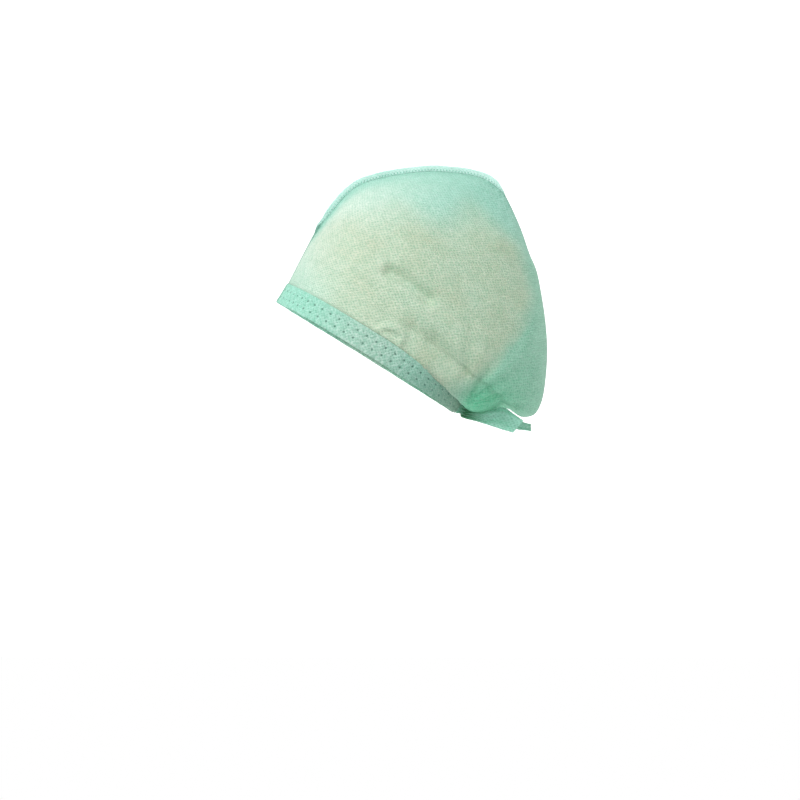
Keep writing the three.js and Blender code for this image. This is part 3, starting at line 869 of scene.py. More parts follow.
@dataclass
class Band:
    """The strip folded over the crown's edge, spot welded in two rows."""

    crown: Crown
    knot_half_width: float = 9.0
    end_to_knot: float = 8.0
    # How far the outer and inner plies stand from the crown's edge.
    outer: float = 0.6
    inner: float = 1.2
    ply: float = 0.4
    # The share of each ply that goes round the fold.
    fold_share: float = 0.07
    weld_depth: float = 0.55
    weld_radius: float = 1.25
    # How far the fold hangs below the crown's edge, as a share of the space there, and how unevenly, in mm.
    fold_hang: float = 0.85
    fold_unevenness: float = 0.22
    # How far the plies puff up between the welds, and how far the top edge stands off and how unevenly.
    puff: float = 0.08
    edge_lift: float = 0.08
    edge_unevenness: float = 0.16
    # How far the whole band ripples, and how much more it does where it is crumpled.
    sway: float = 0.12
    crumpled_sway: float = 0.2

    def __post_init__(self) -> None:
        """Find the section at which the band ends beside the knot."""
        around = np.linspace(0.5, 1.0, 4001)
        middle = self.crown.surface(around, np.full_like(around, -0.5), np.ones_like(around))[:, 1]
        self.end = float(around[np.argmin(np.abs(middle - self.knot_half_width - self.end_to_knot))])

    def strip_at(self, around: np.ndarray, height: np.ndarray, sign: np.ndarray) -> tuple[np.ndarray, ...]:
        """Find the crown's edge that the band covers.

        Args:
            around: 0 at the brow to 1 at the nape, along the grid's columns.
            height: 0 at the crown's edge to 1 at the band's top edge.
            sign: -1 on the left side, 1 on the right.

        Returns:
            Places on the crown's edge, unit directions up the band, and unit directions out of the cap.
        """
        strip = self.crown.surface(around, height - 1, sign)
        foot = self.crown.surface(around, np.full_like(height, -1.0), sign)
        head = self.crown.surface(around, np.full_like(height, -0.001), sign)
        tangent = np.gradient(strip, axis=1)
        rise = head - foot
        rise /= np.linalg.norm(rise, axis=-1, keepdims=True)
        normal = np.cross(tangent, rise)
        normal /= np.linalg.norm(normal, axis=-1, keepdims=True)
        normal *= np.sign(np.sum(normal * strip * [1, 1, 0], axis=-1, keepdims=True))
        return strip, rise, normal

    def build(self) -> bpy.types.Object:
        """Make the folded strip with its weld dimples.

        Returns:
            The band.
        """
        columns, rows = 640, 52
        turn, over = np.meshgrid(np.linspace(-1, 1, columns + 1), np.linspace(-1, 1, rows + 1))
        sign = np.where(turn < 0, -1.0, 1.0)
        around = np.abs(turn) * self.end
        along = along_opening(around)
        # over runs from the outer ply's top edge (-1) round the bottom fold (0) to the inner top edge (1).
        height = np.clip((np.abs(over) - self.fold_share) / (1 - self.fold_share), 0.0, 1.0)
        strip, rise, normal = self.strip_at(around, height, sign)
        fold = np.clip(over / self.fold_share, -1, 1)
        out = np.where(over < 0, self.outer, self.inner) * -fold
        under = np.sqrt(np.maximum(1 - fold**2, 0.0)) * FOLD_UNDER * self.fold_hang
        length = flat_lengths(strip, 1, columns // 2)
        length = np.broadcast_to(length[rows // 4][None, :], length.shape)
        high = FOLD_UNDER + height * (BAND_WIDTH - FOLD_UNDER)
        side = np.where(fold > 0, -1.0, 1.0)
        phase = (length + WELD_PITCH / 2) % WELD_PITCH - WELD_PITCH / 2
        for row in WELD_ROWS:
            dent = bell(np.hypot(phase, high - row), self.weld_radius)
            # The welds keep clear of the pleat at the brow.
            out = out - side * self.weld_depth * dent * smoothstep(np.abs(length), 9.0, 12.0)
        # The plies puff up a little between the welds, and the top edge stands off unevenly.
        quilt = np.cos(2 * math.pi * phase / WELD_PITCH) * bell(high - np.mean(WELD_ROWS), 7.5)
        out = out - side * self.puff * quilt
        lift = self.edge_unevenness * ripple(length, (27.0, 15.0, 49.0), 12) + self.edge_lift
        out = out + side * lift * smoothstep(high, 14.5, BAND_WIDTH)
        # The whole band ripples, more towards the nape, and its fold hangs unevenly.
        crumple = smoothstep(along, CRUMPLE_START + 0.1, 1.0)
        sway = self.sway + self.crumpled_sway * crumple
        out = out + side * sway * ripple(length, (13.0, 8.0, 21.0), 14)
        under = under + self.fold_unevenness * ripple(length, (34.0, 19.0), 15) * (height == 0)
        places = strip + normal * out[..., None] - rise * under[..., None]
        uv = np.stack([length, high], axis=-1)
        tones = {
            # painted shade: the band is drawn darker where it crumples towards the nape
            "crumple": crumple,
            "drawn": bell(along - 0.5, 0.25),
            # painted shade in the band's pleat at the brow, under the front crease
            "pressed": 1 - smoothstep(np.abs(length), 2.5, 11.0),
        }
        piece = SheetMesh("band_plies", places, uv, tones).build()
        thicken(piece, self.ply)
        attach(piece, "root")
        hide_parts("band")
        piece.data.materials.append(SpotWeldedPly("spot_welded_band").build())
        return piece


@dataclass(frozen=True)
class Tail:
    """A tie's free end beyond the knot."""

    reach: float
    # Across (share of the knot's half width), up and out (shares of reach), and how far the strip has
    # opened there.
    path: tuple[tuple[float, float, float, float], ...]
    # How far its end leans from upright, in degrees.
    lean: float
    # The end's outline: across (-1 at one edge to 1 at the other) and how far it stands beyond a square cut
    # there, in mm.
    cut: tuple[tuple[float, float], ...]


LEFT_TAIL = Tail(
    reach=44.0,
    path=(
        (-1.56, -0.024, -0.029, 0.38),
        (-1.72, 0.025, 0.089, 0.5),
        (-1.89, 0.166, 0.392, 0.78),
        (-2.06, 0.284, 0.684, 1.0),
        (-2.17, 0.353, 0.907, 1.0),
    ),
    lean=8.0,
    cut=((-1.0, -9.5), (-0.3, 6.2), (1.0, 0.0)),
)
RIGHT_TAIL = Tail(
    reach=60.5,
    path=(
        (1.67, -0.029, -0.006, 0.28),
        (2.22, 0.012, 0.131, 0.42),
        (2.78, 0.124, 0.384, 0.6),
        (3.11, 0.231, 0.676, 0.68),
        (3.17, 0.345, 0.977, 0.62),
    ),
    lean=-60.0,
    cut=((-1.0, -1.5), (1.0, 1.5)),
)


@dataclass
class Tie:
    """One end of the band: a lead, its way through the reef knot and a loose tail."""

    band: Band
    side: Side
    tail: Tail
    # Where the tails' places are counted from: this far down from the nape and this far behind it.
    tail_root: tuple[float, float] = (8.3, 5.5)
    strand: float = 2.7
    gap: float = 0.2
    ply: float = 0.45
    # How many lengthwise folds the strip has where it is pulled tight, and how far its opened tail curls.
    folds: int = 8
    curl: float = 1.5
    knot_to_crown: float = 1.8
    # The lead starts this far inside the band, counted in its sections, this far out from the crown's edge,
    # and this share of the band's width high.
    lead_overlap: float = 0.03
    lead_out: float = 0.15
    lead_height: float = 0.94
    # How far out from the crown's edge its first three places stand, how far the third lies beyond the band,
    # and where it enters the knot: across in half widths, and up and over in lanes.
    lead_stand: tuple[float, float, float] = (0.35, 0.9, 1.5)
    lead_beyond: float = 2.5
    lead_entry: tuple[float, float] = (1.5, 0.3)
    # How wide the lead is at each of its four places, as shares of the band's width.
    lead_widths: tuple[float, ...] = (0.74, 0.7, 0.64, 0.46)
    # How wide the strip is in the knot, as a share of the strand.
    knot_width: float = 1.12
    # The knot's strand, by distances across (shares of its half width), up and over (in lanes).
    weave: list[tuple[float, float, float]] = field(
        default_factory=lambda: [
            (-1.15, 0.5, 0.9),
            (-0.88, 0.5, 1.0),
            (-0.44, 0.52, -0.05),
            (0.0, 1.15, -1.15),
            (0.44, 1.78, 0.0),
            (0.8, 1.6, 0.9),
            (1.02, 0.95, 1.05),
            (1.1, 0.0, 1.05),
            (1.02, -0.95, 1.05),
            (0.8, -1.6, 0.9),
            (0.44, -1.78, 0.0),
            (0.0, -1.15, -1.15),
            (-0.44, -0.52, -0.05),
            (-0.88, -0.5, 1.0),
            (-1.15, -0.5, 0.9),
        ]
    )

    def __post_init__(self) -> None:
        """Place the knot's middle behind the nape."""
        self.lane = self.strand + self.gap
        half = max(up for _, up, _ in self.weave) * self.lane + self.strand / 2
        self.knot = NAPE_TOP - FROM_OPENING * half + TO_NAPE * (self.lane + self.knot_to_crown)

    def knot_place(self, across: float, up: float, out: float) -> np.ndarray:
        """Return the place at these distances across, up and out from the knot's middle."""
        return self.knot + ACROSS * across + FROM_OPENING * up + TO_NAPE * out

    def stations(self) -> tuple[list[np.ndarray], list[float]]:
        """List the stations of the tie's middle line.

        Returns:
            The places that the tie runs through, and its width at each.
        """
        sign = float(self.side.value)
        crown, end = self.band.crown, self.band.end
        sections = np.array([end - self.lead_overlap, end, end + 0.01])
        at = crown.surface(sections, np.full(3, -0.5), np.full(3, sign))
        along = at[2] - at[1]
        along /= np.linalg.norm(along)
        out = np.cross(along, FROM_OPENING) * sign
        out /= np.linalg.norm(out)
        out *= np.sign(out[0])
        half = self.band.knot_half_width
        entry, lanes = self.lead_entry
        places = [
            at[0] + out * self.lead_stand[0],
            at[1] + out * self.lead_stand[1],
            at[1] + out * self.lead_stand[2] + along * self.lead_beyond,
            self.knot_place(sign * half * entry, lanes * self.lane, -sign * lanes * self.lane),
        ]
        widths = [share * BAND_WIDTH for share in self.lead_widths]
        for across, up, over in self.weave:
            place = self.knot_place(-sign * across * half, up * self.lane, -sign * over * self.lane / 2)
            places.append(place)
            widths.append(self.strand * self.knot_width)
        root = NAPE_TOP - FROM_OPENING * self.tail_root[0] + TO_NAPE * self.tail_root[1]
        for across, up, reach_out, opened in self.tail.path:
            shift = FROM_OPENING * up * self.tail.reach + TO_NAPE * reach_out * self.tail.reach
            places.append(root + ACROSS * across * half + shift)
            widths.append(BAND_WIDTH * opened)
        return places, widths

    def build(self) -> bpy.types.Object:
        """Make the strip: pleated where it is pulled tight, opening out flat along its tail.

        Returns:
            The strip.
        """
        points, widths = self.stations()
        line = SmoothLine(points, 1400)
        columns, rows = 420, 56
        count = len(points) - 1
        station = np.interp(np.linspace(0, 1, columns + 1) * line.total, line.lengths, line.by_station)
        centre = line.stations(station)
        tangent = np.gradient(centre, axis=0)
        tangent /= np.linalg.norm(tangent, axis=1, keepdims=True)
        wide = np.interp(station, np.arange(count + 1), widths)
        wide = np.convolve(np.pad(wide, 6, mode="edge"), np.ones(13) / 13, mode="valid")
        width_way = self.carried(tangent, math.radians(self.tail.lean), station, count)
        through = np.cross(tangent, width_way)
        across, _ = np.meshgrid(np.linspace(-1, 1, rows + 1), station, indexing="ij")
        open_share = np.clip(wide / BAND_WIDTH, 0.0, 1.0)
        length = np.broadcast_to(np.interp(station, line.by_station, line.lengths)[None, :], across.shape)
        opened = smoothstep(open_share, 0.4, 0.75) * smoothstep(station, count - 5.0, count - 3.0)
        lift = self.relief(across, length, open_share, opened)
        cut = np.interp(across, *np.array(self.tail.cut).T) * smoothstep(station, count - 2.3, count)
        places = (
            centre[None, :, :]
            + tangent[None, :, :] * cut[..., None]
            + width_way[None, :, :] * (across * wide / 2)[..., None]
            + through[None, :, :] * lift[..., None]
        )
        places = self.from_band(places, across, station, length)
        uv = np.stack([length, (across + 1) * BAND_WIDTH / 2], axis=-1)
        # Painted shade: where the strip is drawn narrow, into the knot, it is painted deep green.
        tight = np.broadcast_to(1 - smoothstep(open_share, 0.3, 0.82), across.shape)
        name = f"tie_{self.side.name.lower()}"
        piece = SheetMesh(f"{name}_strip", places, uv, {"crumple": tight}).build()
        thicken(piece, self.ply)
        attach(piece, "root")
        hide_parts(name)
        piece.data.materials.append(FoldedStripPly(f"{name}_ply").build())
        return piece

    def relief(self, across: np.ndarray, length: np.ndarray, open_share: np.ndarray,
               opened: np.ndarray) -> np.ndarray:
        """Work out how far the strip stands off its middle surface.

        Args:
            across: -1 at the strip's lower edge to 1 at its upper edge.
            length: each point's distance along the strip.
            open_share: each column's width, as a share of the full width.
            opened: 0 where it is folded to 1 where its tail has opened out flat.

        Returns:
            The height in millimetres.
        """
        # The narrower the strip is drawn, the deeper its folds are.
        depth = 0.5 * BAND_WIDTH / self.folds * np.sqrt(np.maximum(1 - open_share**2, 0.0))
        # The folds' ridges are a little rounded, and they flatten towards the strip's edges.
        zigzag = 2 / math.pi * np.arcsin(0.96 * np.sin(math.pi * (across + 1) * self.folds / 2))
        envelope = np.sqrt(np.clip(1 - 0.72 * across**2, 0.0, 1.0))
        turn = 1.5 * math.pi * across + 1.6 * ripple(length, (27.0, 41.0), 16 + self.side.value)
        soft = self.curl * np.sin(turn)
        flat = np.stack([length, across * BAND_WIDTH / 2, 0 * across], axis=-1)
        fine = (0.1 + 0.3 * opened) * creases(flat, 9.0, 4, 20 + self.side.value)
        return envelope * (zigzag * depth * (1 - 0.85 * opened) + soft * opened) + fine

    def from_band(self, places: np.ndarray, across: np.ndarray, station: np.ndarray,
                  length: np.ndarray) -> np.ndarray:
        """Lay the strip's start flat on the band, and let it draw together from there.

        Args:
            places: the strip's places if it were free from its start.
            across: -1 at the strip's lower edge to 1 at its upper edge.
            station: each column's station number.
            length: each point's distance along the strip.

        Returns:
            The places with the start laid on the band, which ends at station 1.
        """
        sign = np.full_like(across, float(self.side.value))
        first = self.band.end - self.lead_overlap
        around = self.band.end - self.lead_overlap * np.clip(1 - station, 0.0, 1.0) + 0 * across
        gently = first + 0.001 * np.arange(places.shape[1]) + 0 * across
        height = np.clip(self.lead_height * (across + 1) / 2, 0.0, 1.0)
        strip = self.band.crown.surface(around, height - 1, sign)
        _, _, normal = self.band.strip_at(gently, height, sign)
        ahead = self.lead_way()
        past = np.maximum(length - np.interp(1.0, station, length[0]), 0.0)
        laid = strip + normal * self.lead_out + ahead * past[..., None]
        share = smoothstep(station, 1.0, 3.0)[None, :, None]
        return laid * (1 - share) + places * share

    def lead_way(self) -> np.ndarray:
        """Find the direction in which the band points at its end.

        Returns:
            The unit direction.
        """
        end, sign = self.band.end, float(self.side.value)
        at = self.band.crown.surface(np.array([end - 0.01, end]), np.full(2, -0.5), np.full(2, sign))
        return (at[1] - at[0]) / np.linalg.norm(at[1] - at[0])

    def carried(self, tangent: np.ndarray, lean: float, station: np.ndarray, count: int) -> np.ndarray:
        """Carry the strip's width along its line without needless twist.

        Args:
            tangent: the line's unit tangents.
            lean: the lean at the end, in radians from upright.
            station: each place's station number.
            count: the last station's number.

        Returns:
            Unit width directions.
        """
        way = np.empty_like(tangent)
        current = FROM_OPENING.copy()
        for k, ahead in enumerate(tangent):
            current = current - (current @ ahead) * ahead
            current /= np.linalg.norm(current)
            way[k] = current
        wanted = FROM_OPENING * math.cos(lean) + ACROSS * math.sin(lean)
        wanted = wanted - (wanted @ tangent[-1]) * tangent[-1]
        wanted /= np.linalg.norm(wanted)
        turn = math.atan2(np.cross(way[-1], wanted) @ tangent[-1], way[-1] @ wanted)
        if turn > math.pi / 2:
            turn -= math.pi
        if turn < -math.pi / 2:
            turn += math.pi
        twist = turn * smoothstep(station, count - 6.0, count)
        side = np.cross(tangent, way)
        return way * np.cos(twist)[:, None] + side * np.sin(twist)[:, None]


def linear(hex_colour: str) -> tuple[float, float, float, float]:
    """Turn an sRGB hex colour into linear light.

    Args:
        hex_colour: six hex digits after a hash sign.

    Returns:
        Red, green, blue and alpha.
    """
    parts = [int(hex_colour[k : k + 2], 16) / 255 for k in (1, 3, 5)]
    light = [p / 12.92 if p <= 0.04045 else ((p + 0.055) / 1.055) ** 2.4 for p in parts]
    return light[0], light[1], light[2], 1.0


def add(tree: bpy.types.NodeTree, kind: str, *values: Value, sockets: dict[int | str, Value] | None = None,
        output: int | str = 0, **settings: str | bool) -> bpy.types.NodeSocket | None:
    """Add a node with its settings, its fixed values and its links.

    Args:
        tree: the material's node tree.
        kind: the node's type, without the prefix that all types share.
        *values: what goes into the first inputs, each a value or another node's output.
        sockets: the same for other inputs, by name or number.
        output: the name or number of the output to hand on.
        **settings: the node's own properties.

    Returns:
        The new node's output, or None if it has none.
    """
    node = tree.nodes.new(f"ShaderNode{kind}")
    for key, value in settings.items():
        setattr(node, key, value)
    for key, value in [*enumerate(values), *(sockets or {}).items()]:
        if isinstance(value, bpy.types.NodeSocket):
            tree.links.new(value, node.inputs[key])
        else:
            node.inputs[key].default_value = value
    return node.outputs[output] if node.outputs else None


@dataclass(frozen=True)
class Tone:
    """A colour that is drawn over the cloth wherever the piece's attribute of that name is above 0."""

    attribute: str
    strength: float
    colour: str
    # A second colour that the first changes to in soft blotches.
    blotches: str | None = None


@dataclass(frozen=True)
class Ply:
    """Spunbond polypropylene: matt, slightly shiny fibres that let light through, with pressed bonds."""

    name: str
    colour: str = "#b0e0d3"
    tones: tuple[Tone, ...] = ()
    see_through: float = 0.34
    # Pressed bonds and thick clouds are deeper by this colour. The fibres between them scatter more light.
    bond_colour: str = "#b9dccf"
    fibre_colour: str = "#f4fcf8"
    fibre_shade: float = 0.27
    fibre_rise: float = 0.07
    # Bond points are pressed in a lattice. A real one has a pitch of about 1.3 mm, drawn here at 2.1 mm so
    # that it still shows.
    bond_pitch: float = 2.1
    # The rows of bonds run across the roll, at this angle to the cloth's own axes.
    row_turn: float = 0.0
    bond_shade: float = 0.52
    bond_depth: float = 0.26
    # Clouds and blotches where the fibres lie thicker or thinner: how wide in mm, and how strongly they
    # show.
    cloud_size: float = 9.0
    cloud_shade: float = 0.3
    mottle_size: float = 2.6
    mottle_shade: float = 0.35
    blotch_size: float = 30.0
    emboss: float = 0.12

    def flat_mm(self, tree: bpy.types.NodeTree) -> bpy.types.NodeSocket:
        """Return the cloth's own flat coordinates, in millimetres."""
        flat = add(tree, "UVMap", uv_map="flat")
        return add(tree, "VectorMath", flat, (1 / MM, 1 / MM, 1 / MM), operation="MULTIPLY")

    def noise(self, tree: bpy.types.NodeTree, flat: bpy.types.NodeSocket, size: float,
              detail: float = 2.0) -> bpy.types.NodeSocket:
        """Draw uneven noise.

        Args:
            tree: the material's node tree.
            flat: the cloth's flat coordinates.
            size: how wide a blotch is, in millimetres.
            detail: how many finer layers lie in it.

        Returns:
            The noise, from 0 to 1.
        """
        sockets = {"Vector": flat, "Scale": 1 / size, "Detail": detail, "Roughness": 0.6}
        # The texture keeps near its middle, so that part of it is spread over the whole range.
        return add(tree, "MapRange", add(tree, "TexNoise", sockets=sockets), 0.32, 0.68)

    def bonds(self, tree: bpy.types.NodeTree, flat: bpy.types.NodeSocket) -> bpy.types.NodeSocket:
        """Draw the bond points: short dashes in staggered rows.

        Args:
            tree: the material's node tree.
            flat: the cloth's flat coordinates.

        Returns:
            1 on the bond points and 0 between them.
        """
        # The lattice wanders by up to about 1 mm over some 10 mm, as soft cloth does.
        drift = add(tree, "TexNoise", sockets={"Vector": flat, "Scale": 0.09, "Detail": 1.0}, output="Color")
        drift = add(tree, "VectorMath", drift, sockets={"Scale": 2.2}, operation="SCALE")
        moved = add(tree, "VectorMath", flat, drift, operation="ADD")
        # A square lattice, a little longer along the rows and turned 45 degrees from them.
        rows = add(tree, "Mapping", moved, sockets={"Rotation": (0.0, 0.0, self.row_turn)})
        stretch = (0.92 / self.bond_pitch, 1 / self.bond_pitch, 1.0)
        rows = add(tree, "VectorMath", rows, stretch, operation="MULTIPLY")
        turned = add(tree, "Mapping", rows, sockets={"Rotation": (0.0, 0.0, math.radians(45.0))})
        sockets = {"Vector": turned, "Scale": 1.0, "Randomness": 0.3}
        away = add(tree, "TexVoronoi", sockets=sockets, output="Distance", voronoi_dimensions="2D")
        # A bond is full up to 0.14 of the pitch from its middle and gone at 0.48.
        return add(tree, "MapRange", away, 0.14, 0.48, 1.0, 0.0)

    def fibres(self, tree: bpy.types.NodeTree, flat: bpy.types.NodeSocket) -> bpy.types.NodeSocket:
        """Draw fine crossing fibres. Real ones are 0.02 mm thick, drawn at about 0.5 mm so that they show.

        Args:
            tree: the material's node tree.
            flat: the cloth's flat coordinates.

        Returns:
            1 on a fibre and 0 beside it.
        """
        total = 0.0
        # Streaks about 3 mm long and six times as long as wide, in three directions.
        for degrees in (4.0, -17.0, 23.0):
            turn = (0.0, 0.0, self.row_turn + math.radians(degrees))
            turned = add(tree, "Mapping", flat, sockets={"Rotation": turn, "Scale": (1.0, 6.0, 1.0)})
            streaks = add(tree, "TexNoise", sockets={"Vector": turned, "Scale": 0.3, "Detail": 2.0})
            total = add(tree, "Math", total, streaks, operation="MAXIMUM")
        return add(tree, "MapRange", total, 0.5, 0.78)

    def tint(self, tree: bpy.types.NodeTree, flat: bpy.types.NodeSocket) -> Value:
        """Colour the cloth before its bonds are drawn, with each tone laid over those before it.

        Args:
            tree: the material's node tree.
            flat: the cloth's flat coordinates.

        Returns:
            The colour.
        """
        colour = linear(self.colour)
        for tone in self.tones:
            over = linear(tone.colour)
            if tone.blotches:
                share = self.noise(tree, flat, self.blotch_size, 3.0)
                sockets = {6: over, 7: linear(tone.blotches)}
                over = add(tree, "Mix", share, sockets=sockets, output=2, data_type="RGBA")
            there = add(tree, "Attribute", attribute_name=tone.attribute, output="Fac")
            share = add(tree, "Math", there, tone.strength, operation="MULTIPLY")
            colour = add(tree, "Mix", share, sockets={6: colour, 7: over}, output=2, data_type="RGBA")
        return colour

    def build(self) -> bpy.types.Material:
        """Make the material.

        Returns:
            The new material.
        """
        material = bpy.data.materials.new(self.name)
        material.use_nodes = True
        tree = material.node_tree
        tree.nodes.clear()
        flat = self.flat_mm(tree)
        bonds = self.bonds(tree, flat)
        fibres = self.fibres(tree, flat)
        clouds = self.noise(tree, flat, self.cloud_size, 4.0)
        mottle = self.noise(tree, flat, self.mottle_size)
        shade = add(tree, "Math", bonds, self.bond_shade, operation="MULTIPLY")
        shade = add(tree, "Math", clouds, self.cloud_shade, shade, operation="MULTIPLY_ADD")
        shade = add(tree, "Math", mottle, self.mottle_shade, shade, operation="MULTIPLY_ADD")
        sockets = {6: self.tint(tree, flat), 7: linear(self.bond_colour)}
        shaded = add(tree, "Mix", shade, sockets=sockets, output=2, data_type="RGBA", blend_type="MULTIPLY")
        share = add(tree, "Math", fibres, self.fibre_shade, operation="MULTIPLY")
        sockets = {6: shaded, 7: linear(self.fibre_colour)}
        lit = add(tree, "Mix", share, sockets=sockets, output=2, data_type="RGBA")
        relief = add(tree, "Math", fibres, self.fibre_rise, operation="MULTIPLY")
        relief = add(tree, "Math", bonds, -self.bond_depth, relief, operation="MULTIPLY_ADD")
        relief = add(tree, "Math", mottle, self.emboss, relief, operation="MULTIPLY_ADD")
        bump = add(tree, "Bump", sockets={"Strength": 0.85, "Distance": MM, "Height": relief})
        # The film on a pressed bond is smoother than loose fibres.
        rough = add(tree, "MapRange", bonds, 0.0, 1.0, 0.8, 0.5)
        sockets = {
            "Base Color": lit,
            "Roughness": rough,
            "Normal": bump,
            "IOR": 1.49,
            "Specular IOR Level": 0.35,
            "Sheen Weight": 0.15,
            "Sheen Roughness": 0.5,
        }
        body = add(tree, "BsdfPrincipled", sockets=sockets)
        glow = add(tree, "BsdfTranslucent", sockets={"Color": lit, "Normal": bump})
        add(tree, "OutputMaterial", add(tree, "MixShader", self.see_through, body, glow))
        return material


@dataclass(frozen=True)
class SpunbondPly(Ply):
    """The crown's single ply: mint, pale where drawn taut, deeper green and painted shade where gathered."""

    row_turn: float = OPENING_DROP
    tones: tuple[Tone, ...] = (
        # Painted shade: the pouch is drawn a little darker.
        Tone("hanging", 1.0, "#a6d4c0"),
        # Painted light: the cloth is drawn paler high at the front.
        Tone("pale", 0.95, "#eef0e6"),
        Tone("taut", 0.85, "#d7ddc7", blotches="#d1d1b6"),
        # Deeper green at the knot, partly painted shade.
        Tone("gather", 0.85, "#62dbaf"),
        # Painted shade along the front crease and the back fold.
        Tone("pressed", 0.8, "#428d7b"),
    )


@dataclass(frozen=True)
class WeldedSeamPly(Ply):
    """The seam's two plies, bright mint partly by painted light, with a dotted weld along the root and
    knurled ticks above it.
    """

    # The plies are coloured near white, partly for their two layers and partly as painted light, and their
    # bonds, clouds and mottle shade little, so that the seam looks as bright as the crown's top.
    colour: str = "#e6fffa"
    see_through: float = 0.35
    bond_shade: float = 0.15
    cloud_shade: float = 0.1
    mottle_shade: float = 0.15
    weld_colour: str = "#9adcca"
    dot_pitch: float = 2.7
    dot_height: float = 1.3
    tick_pitch: float = 3.1
    tick_slope: float = 0.9

    def tint(self, tree: bpy.types.NodeTree, flat: bpy.types.NodeSocket) -> Value:
        """Colour the plies with their weld.

        Args:
            tree: the material's node tree.
            flat: the cloth's flat coordinates.

        Returns:
            The colour.
        """
        length = add(tree, "SeparateXYZ", flat, output="X")
        height = add(tree, "Math", add(tree, "SeparateXYZ", flat, output="Y"), operation="ABSOLUTE")
        wave = add(tree, "Math", length, 2 * math.pi / self.dot_pitch, operation="MULTIPLY")
        wave = add(tree, "Math", wave, operation="SINE")
        root = add(tree, "Math", height, self.dot_height, operation="SUBTRACT")
        root = add(tree, "Math", root, operation="ABSOLUTE")
        root = add(tree, "MapRange", root, 0.3, 0.8, 1.0, 0.0)
        dots = add(tree, "Math", add(tree, "MapRange", wave, -0.2, 0.7), root, operation="MULTIPLY")
        slope = add(tree, "Math", height, self.tick_slope, length, operation="MULTIPLY_ADD")
        ticks = add(tree, "Math", slope, 2 * math.pi / self.tick_pitch, operation="MULTIPLY")
        ticks = add(tree, "MapRange", add(tree, "Math", ticks, operation="SINE"), 0.2, 0.9)
        # The ticks are faint, and fade out between 1.8 and 4 mm above the weld.
        fade = add(tree, "MapRange", height, 1.8, 4.0, 0.4, 0.0)
        ticks = add(tree, "Math", ticks, fade, operation="MULTIPLY")
        marks = add(tree, "Math", dots, ticks, operation="MAXIMUM")
        sockets = {6: super().tint(tree, flat), 7: linear(self.weld_colour)}
        return add(tree, "Mix", marks, sockets=sockets, output=2, data_type="RGBA")


@dataclass(frozen=True)
class SpotWeldedPly(Ply):
    """The band's folded plies, bright mint, with two rows of weld dots that show dark, and painted shade at
    nape and brow.
    """

    colour: str = "#b2eedd"
    tones: tuple[Tone, ...] = (
        Tone("drawn", 0.85, "#d6ecdf"),
        # Painted shade where the band crumples towards the nape.
        Tone("crumple", 1.0, "#8ab39b"),
        # Painted shade in the pleat at the brow.
        Tone("pressed", 0.7, "#239c78"),
    )
    see_through: float = 0.24
    mottle_shade: float = 0.75
    emboss: float = 0.35
    cloud_size: float = 5.0
    weld_colour: str = "#40836f"
    weld_radius: float = 1.15
    weld_strength: float = 0.9
    # Fainter dots stand between those of the upper row: how far above it, how wide and how strong.
    faint_rise: float = 1.4
    faint_radius: float = 0.8
    faint_strength: float = 0.45

    def dots(self, tree: bpy.types.NodeTree, flat: bpy.types.NodeSocket, height: float, shift: float,
             radius: float) -> bpy.types.NodeSocket:
        """Draw a row of weld dots.

        Args:
            tree: the material's node tree.
            flat: the cloth's flat coordinates.
            height: how far the row stands above the band's lower edge, in millimetres.
            shift: how far the dots are moved along the row.
            radius: how wide a dot is from its middle.

        Returns:
            1 on the dots and 0 elsewhere.
        """
        half = WELD_PITCH / 2
        along = add(tree, "Math", add(tree, "SeparateXYZ", flat, output="X"), shift + half, operation="ADD")
        along = add(tree, "Math", along, WELD_PITCH, operation="FLOORED_MODULO")
        along = add(tree, "Math", along, half, operation="SUBTRACT")
        across = add(tree, "Math", add(tree, "SeparateXYZ", flat, output="Y"), height, operation="SUBTRACT")
        offset = add(tree, "CombineXYZ", along, across)
        away = add(tree, "VectorMath", offset, operation="LENGTH", output="Value")
        return add(tree, "MapRange", away, radius * 0.35, radius * 1.2, 1.0, 0.0)

    def tint(self, tree: bpy.types.NodeTree, flat: bpy.types.NodeSocket) -> Value:
        """Colour the plies with their weld dots.

        Args:
            tree: the material's node tree.
            flat: the cloth's flat coordinates.

        Returns:
            The colour.
        """
        faint = self.dots(tree, flat, WELD_ROWS[1] + self.faint_rise, WELD_PITCH / 2, self.faint_radius)
        marks = add(tree, "Math", faint, self.faint_strength, operation="MULTIPLY")
        for height in WELD_ROWS:
            row = self.dots(tree, flat, height, 0.0, self.weld_radius)
            marks = add(tree, "Math", marks, row, operation="MAXIMUM")
        marks = add(tree, "Math", marks, self.weld_strength, operation="MULTIPLY")
        sockets = {6: super().tint(tree, flat), 7: linear(self.weld_colour)}
        return add(tree, "Mix", marks, sockets=sockets, output=2, data_type="RGBA")


@dataclass(frozen=True)
class FoldedStripPly(Ply):
    """The ties' folded strip, painted deeper green as shade where it is pulled tight in the knot."""

    colour: str = "#b8ebdb"
    # Painted shade: deep green where the strip is pulled tight in the knot.
    tones: tuple[Tone, ...] = (Tone("crumple", 1.0, "#089455"),)
    see_through: float = 0.3
    mottle_shade: float = 0.4


@dataclass(frozen=True)
class Light:
    """A soft square light that faces the cap. Its place and side are in metres, its power in watts."""

    name: str
    place: tuple[float, float, float]
    size: float
    power: float
    aim: tuple[float, float, float] = (0.03, 0.0, 0.05)

    def build(self) -> None:
        """Add the light."""
        lamp = bpy.data.lights.new(self.name, "AREA")
        lamp.size = self.size
        lamp.energy = self.power
        holder = bpy.data.objects.new(self.name, lamp)
        holder.location = self.place
        towards = Vector(self.aim) - Vector(self.place)
        holder.rotation_euler = towards.to_track_quat("-Z", "Y").to_euler()
        bpy.context.scene.collection.objects.link(holder)


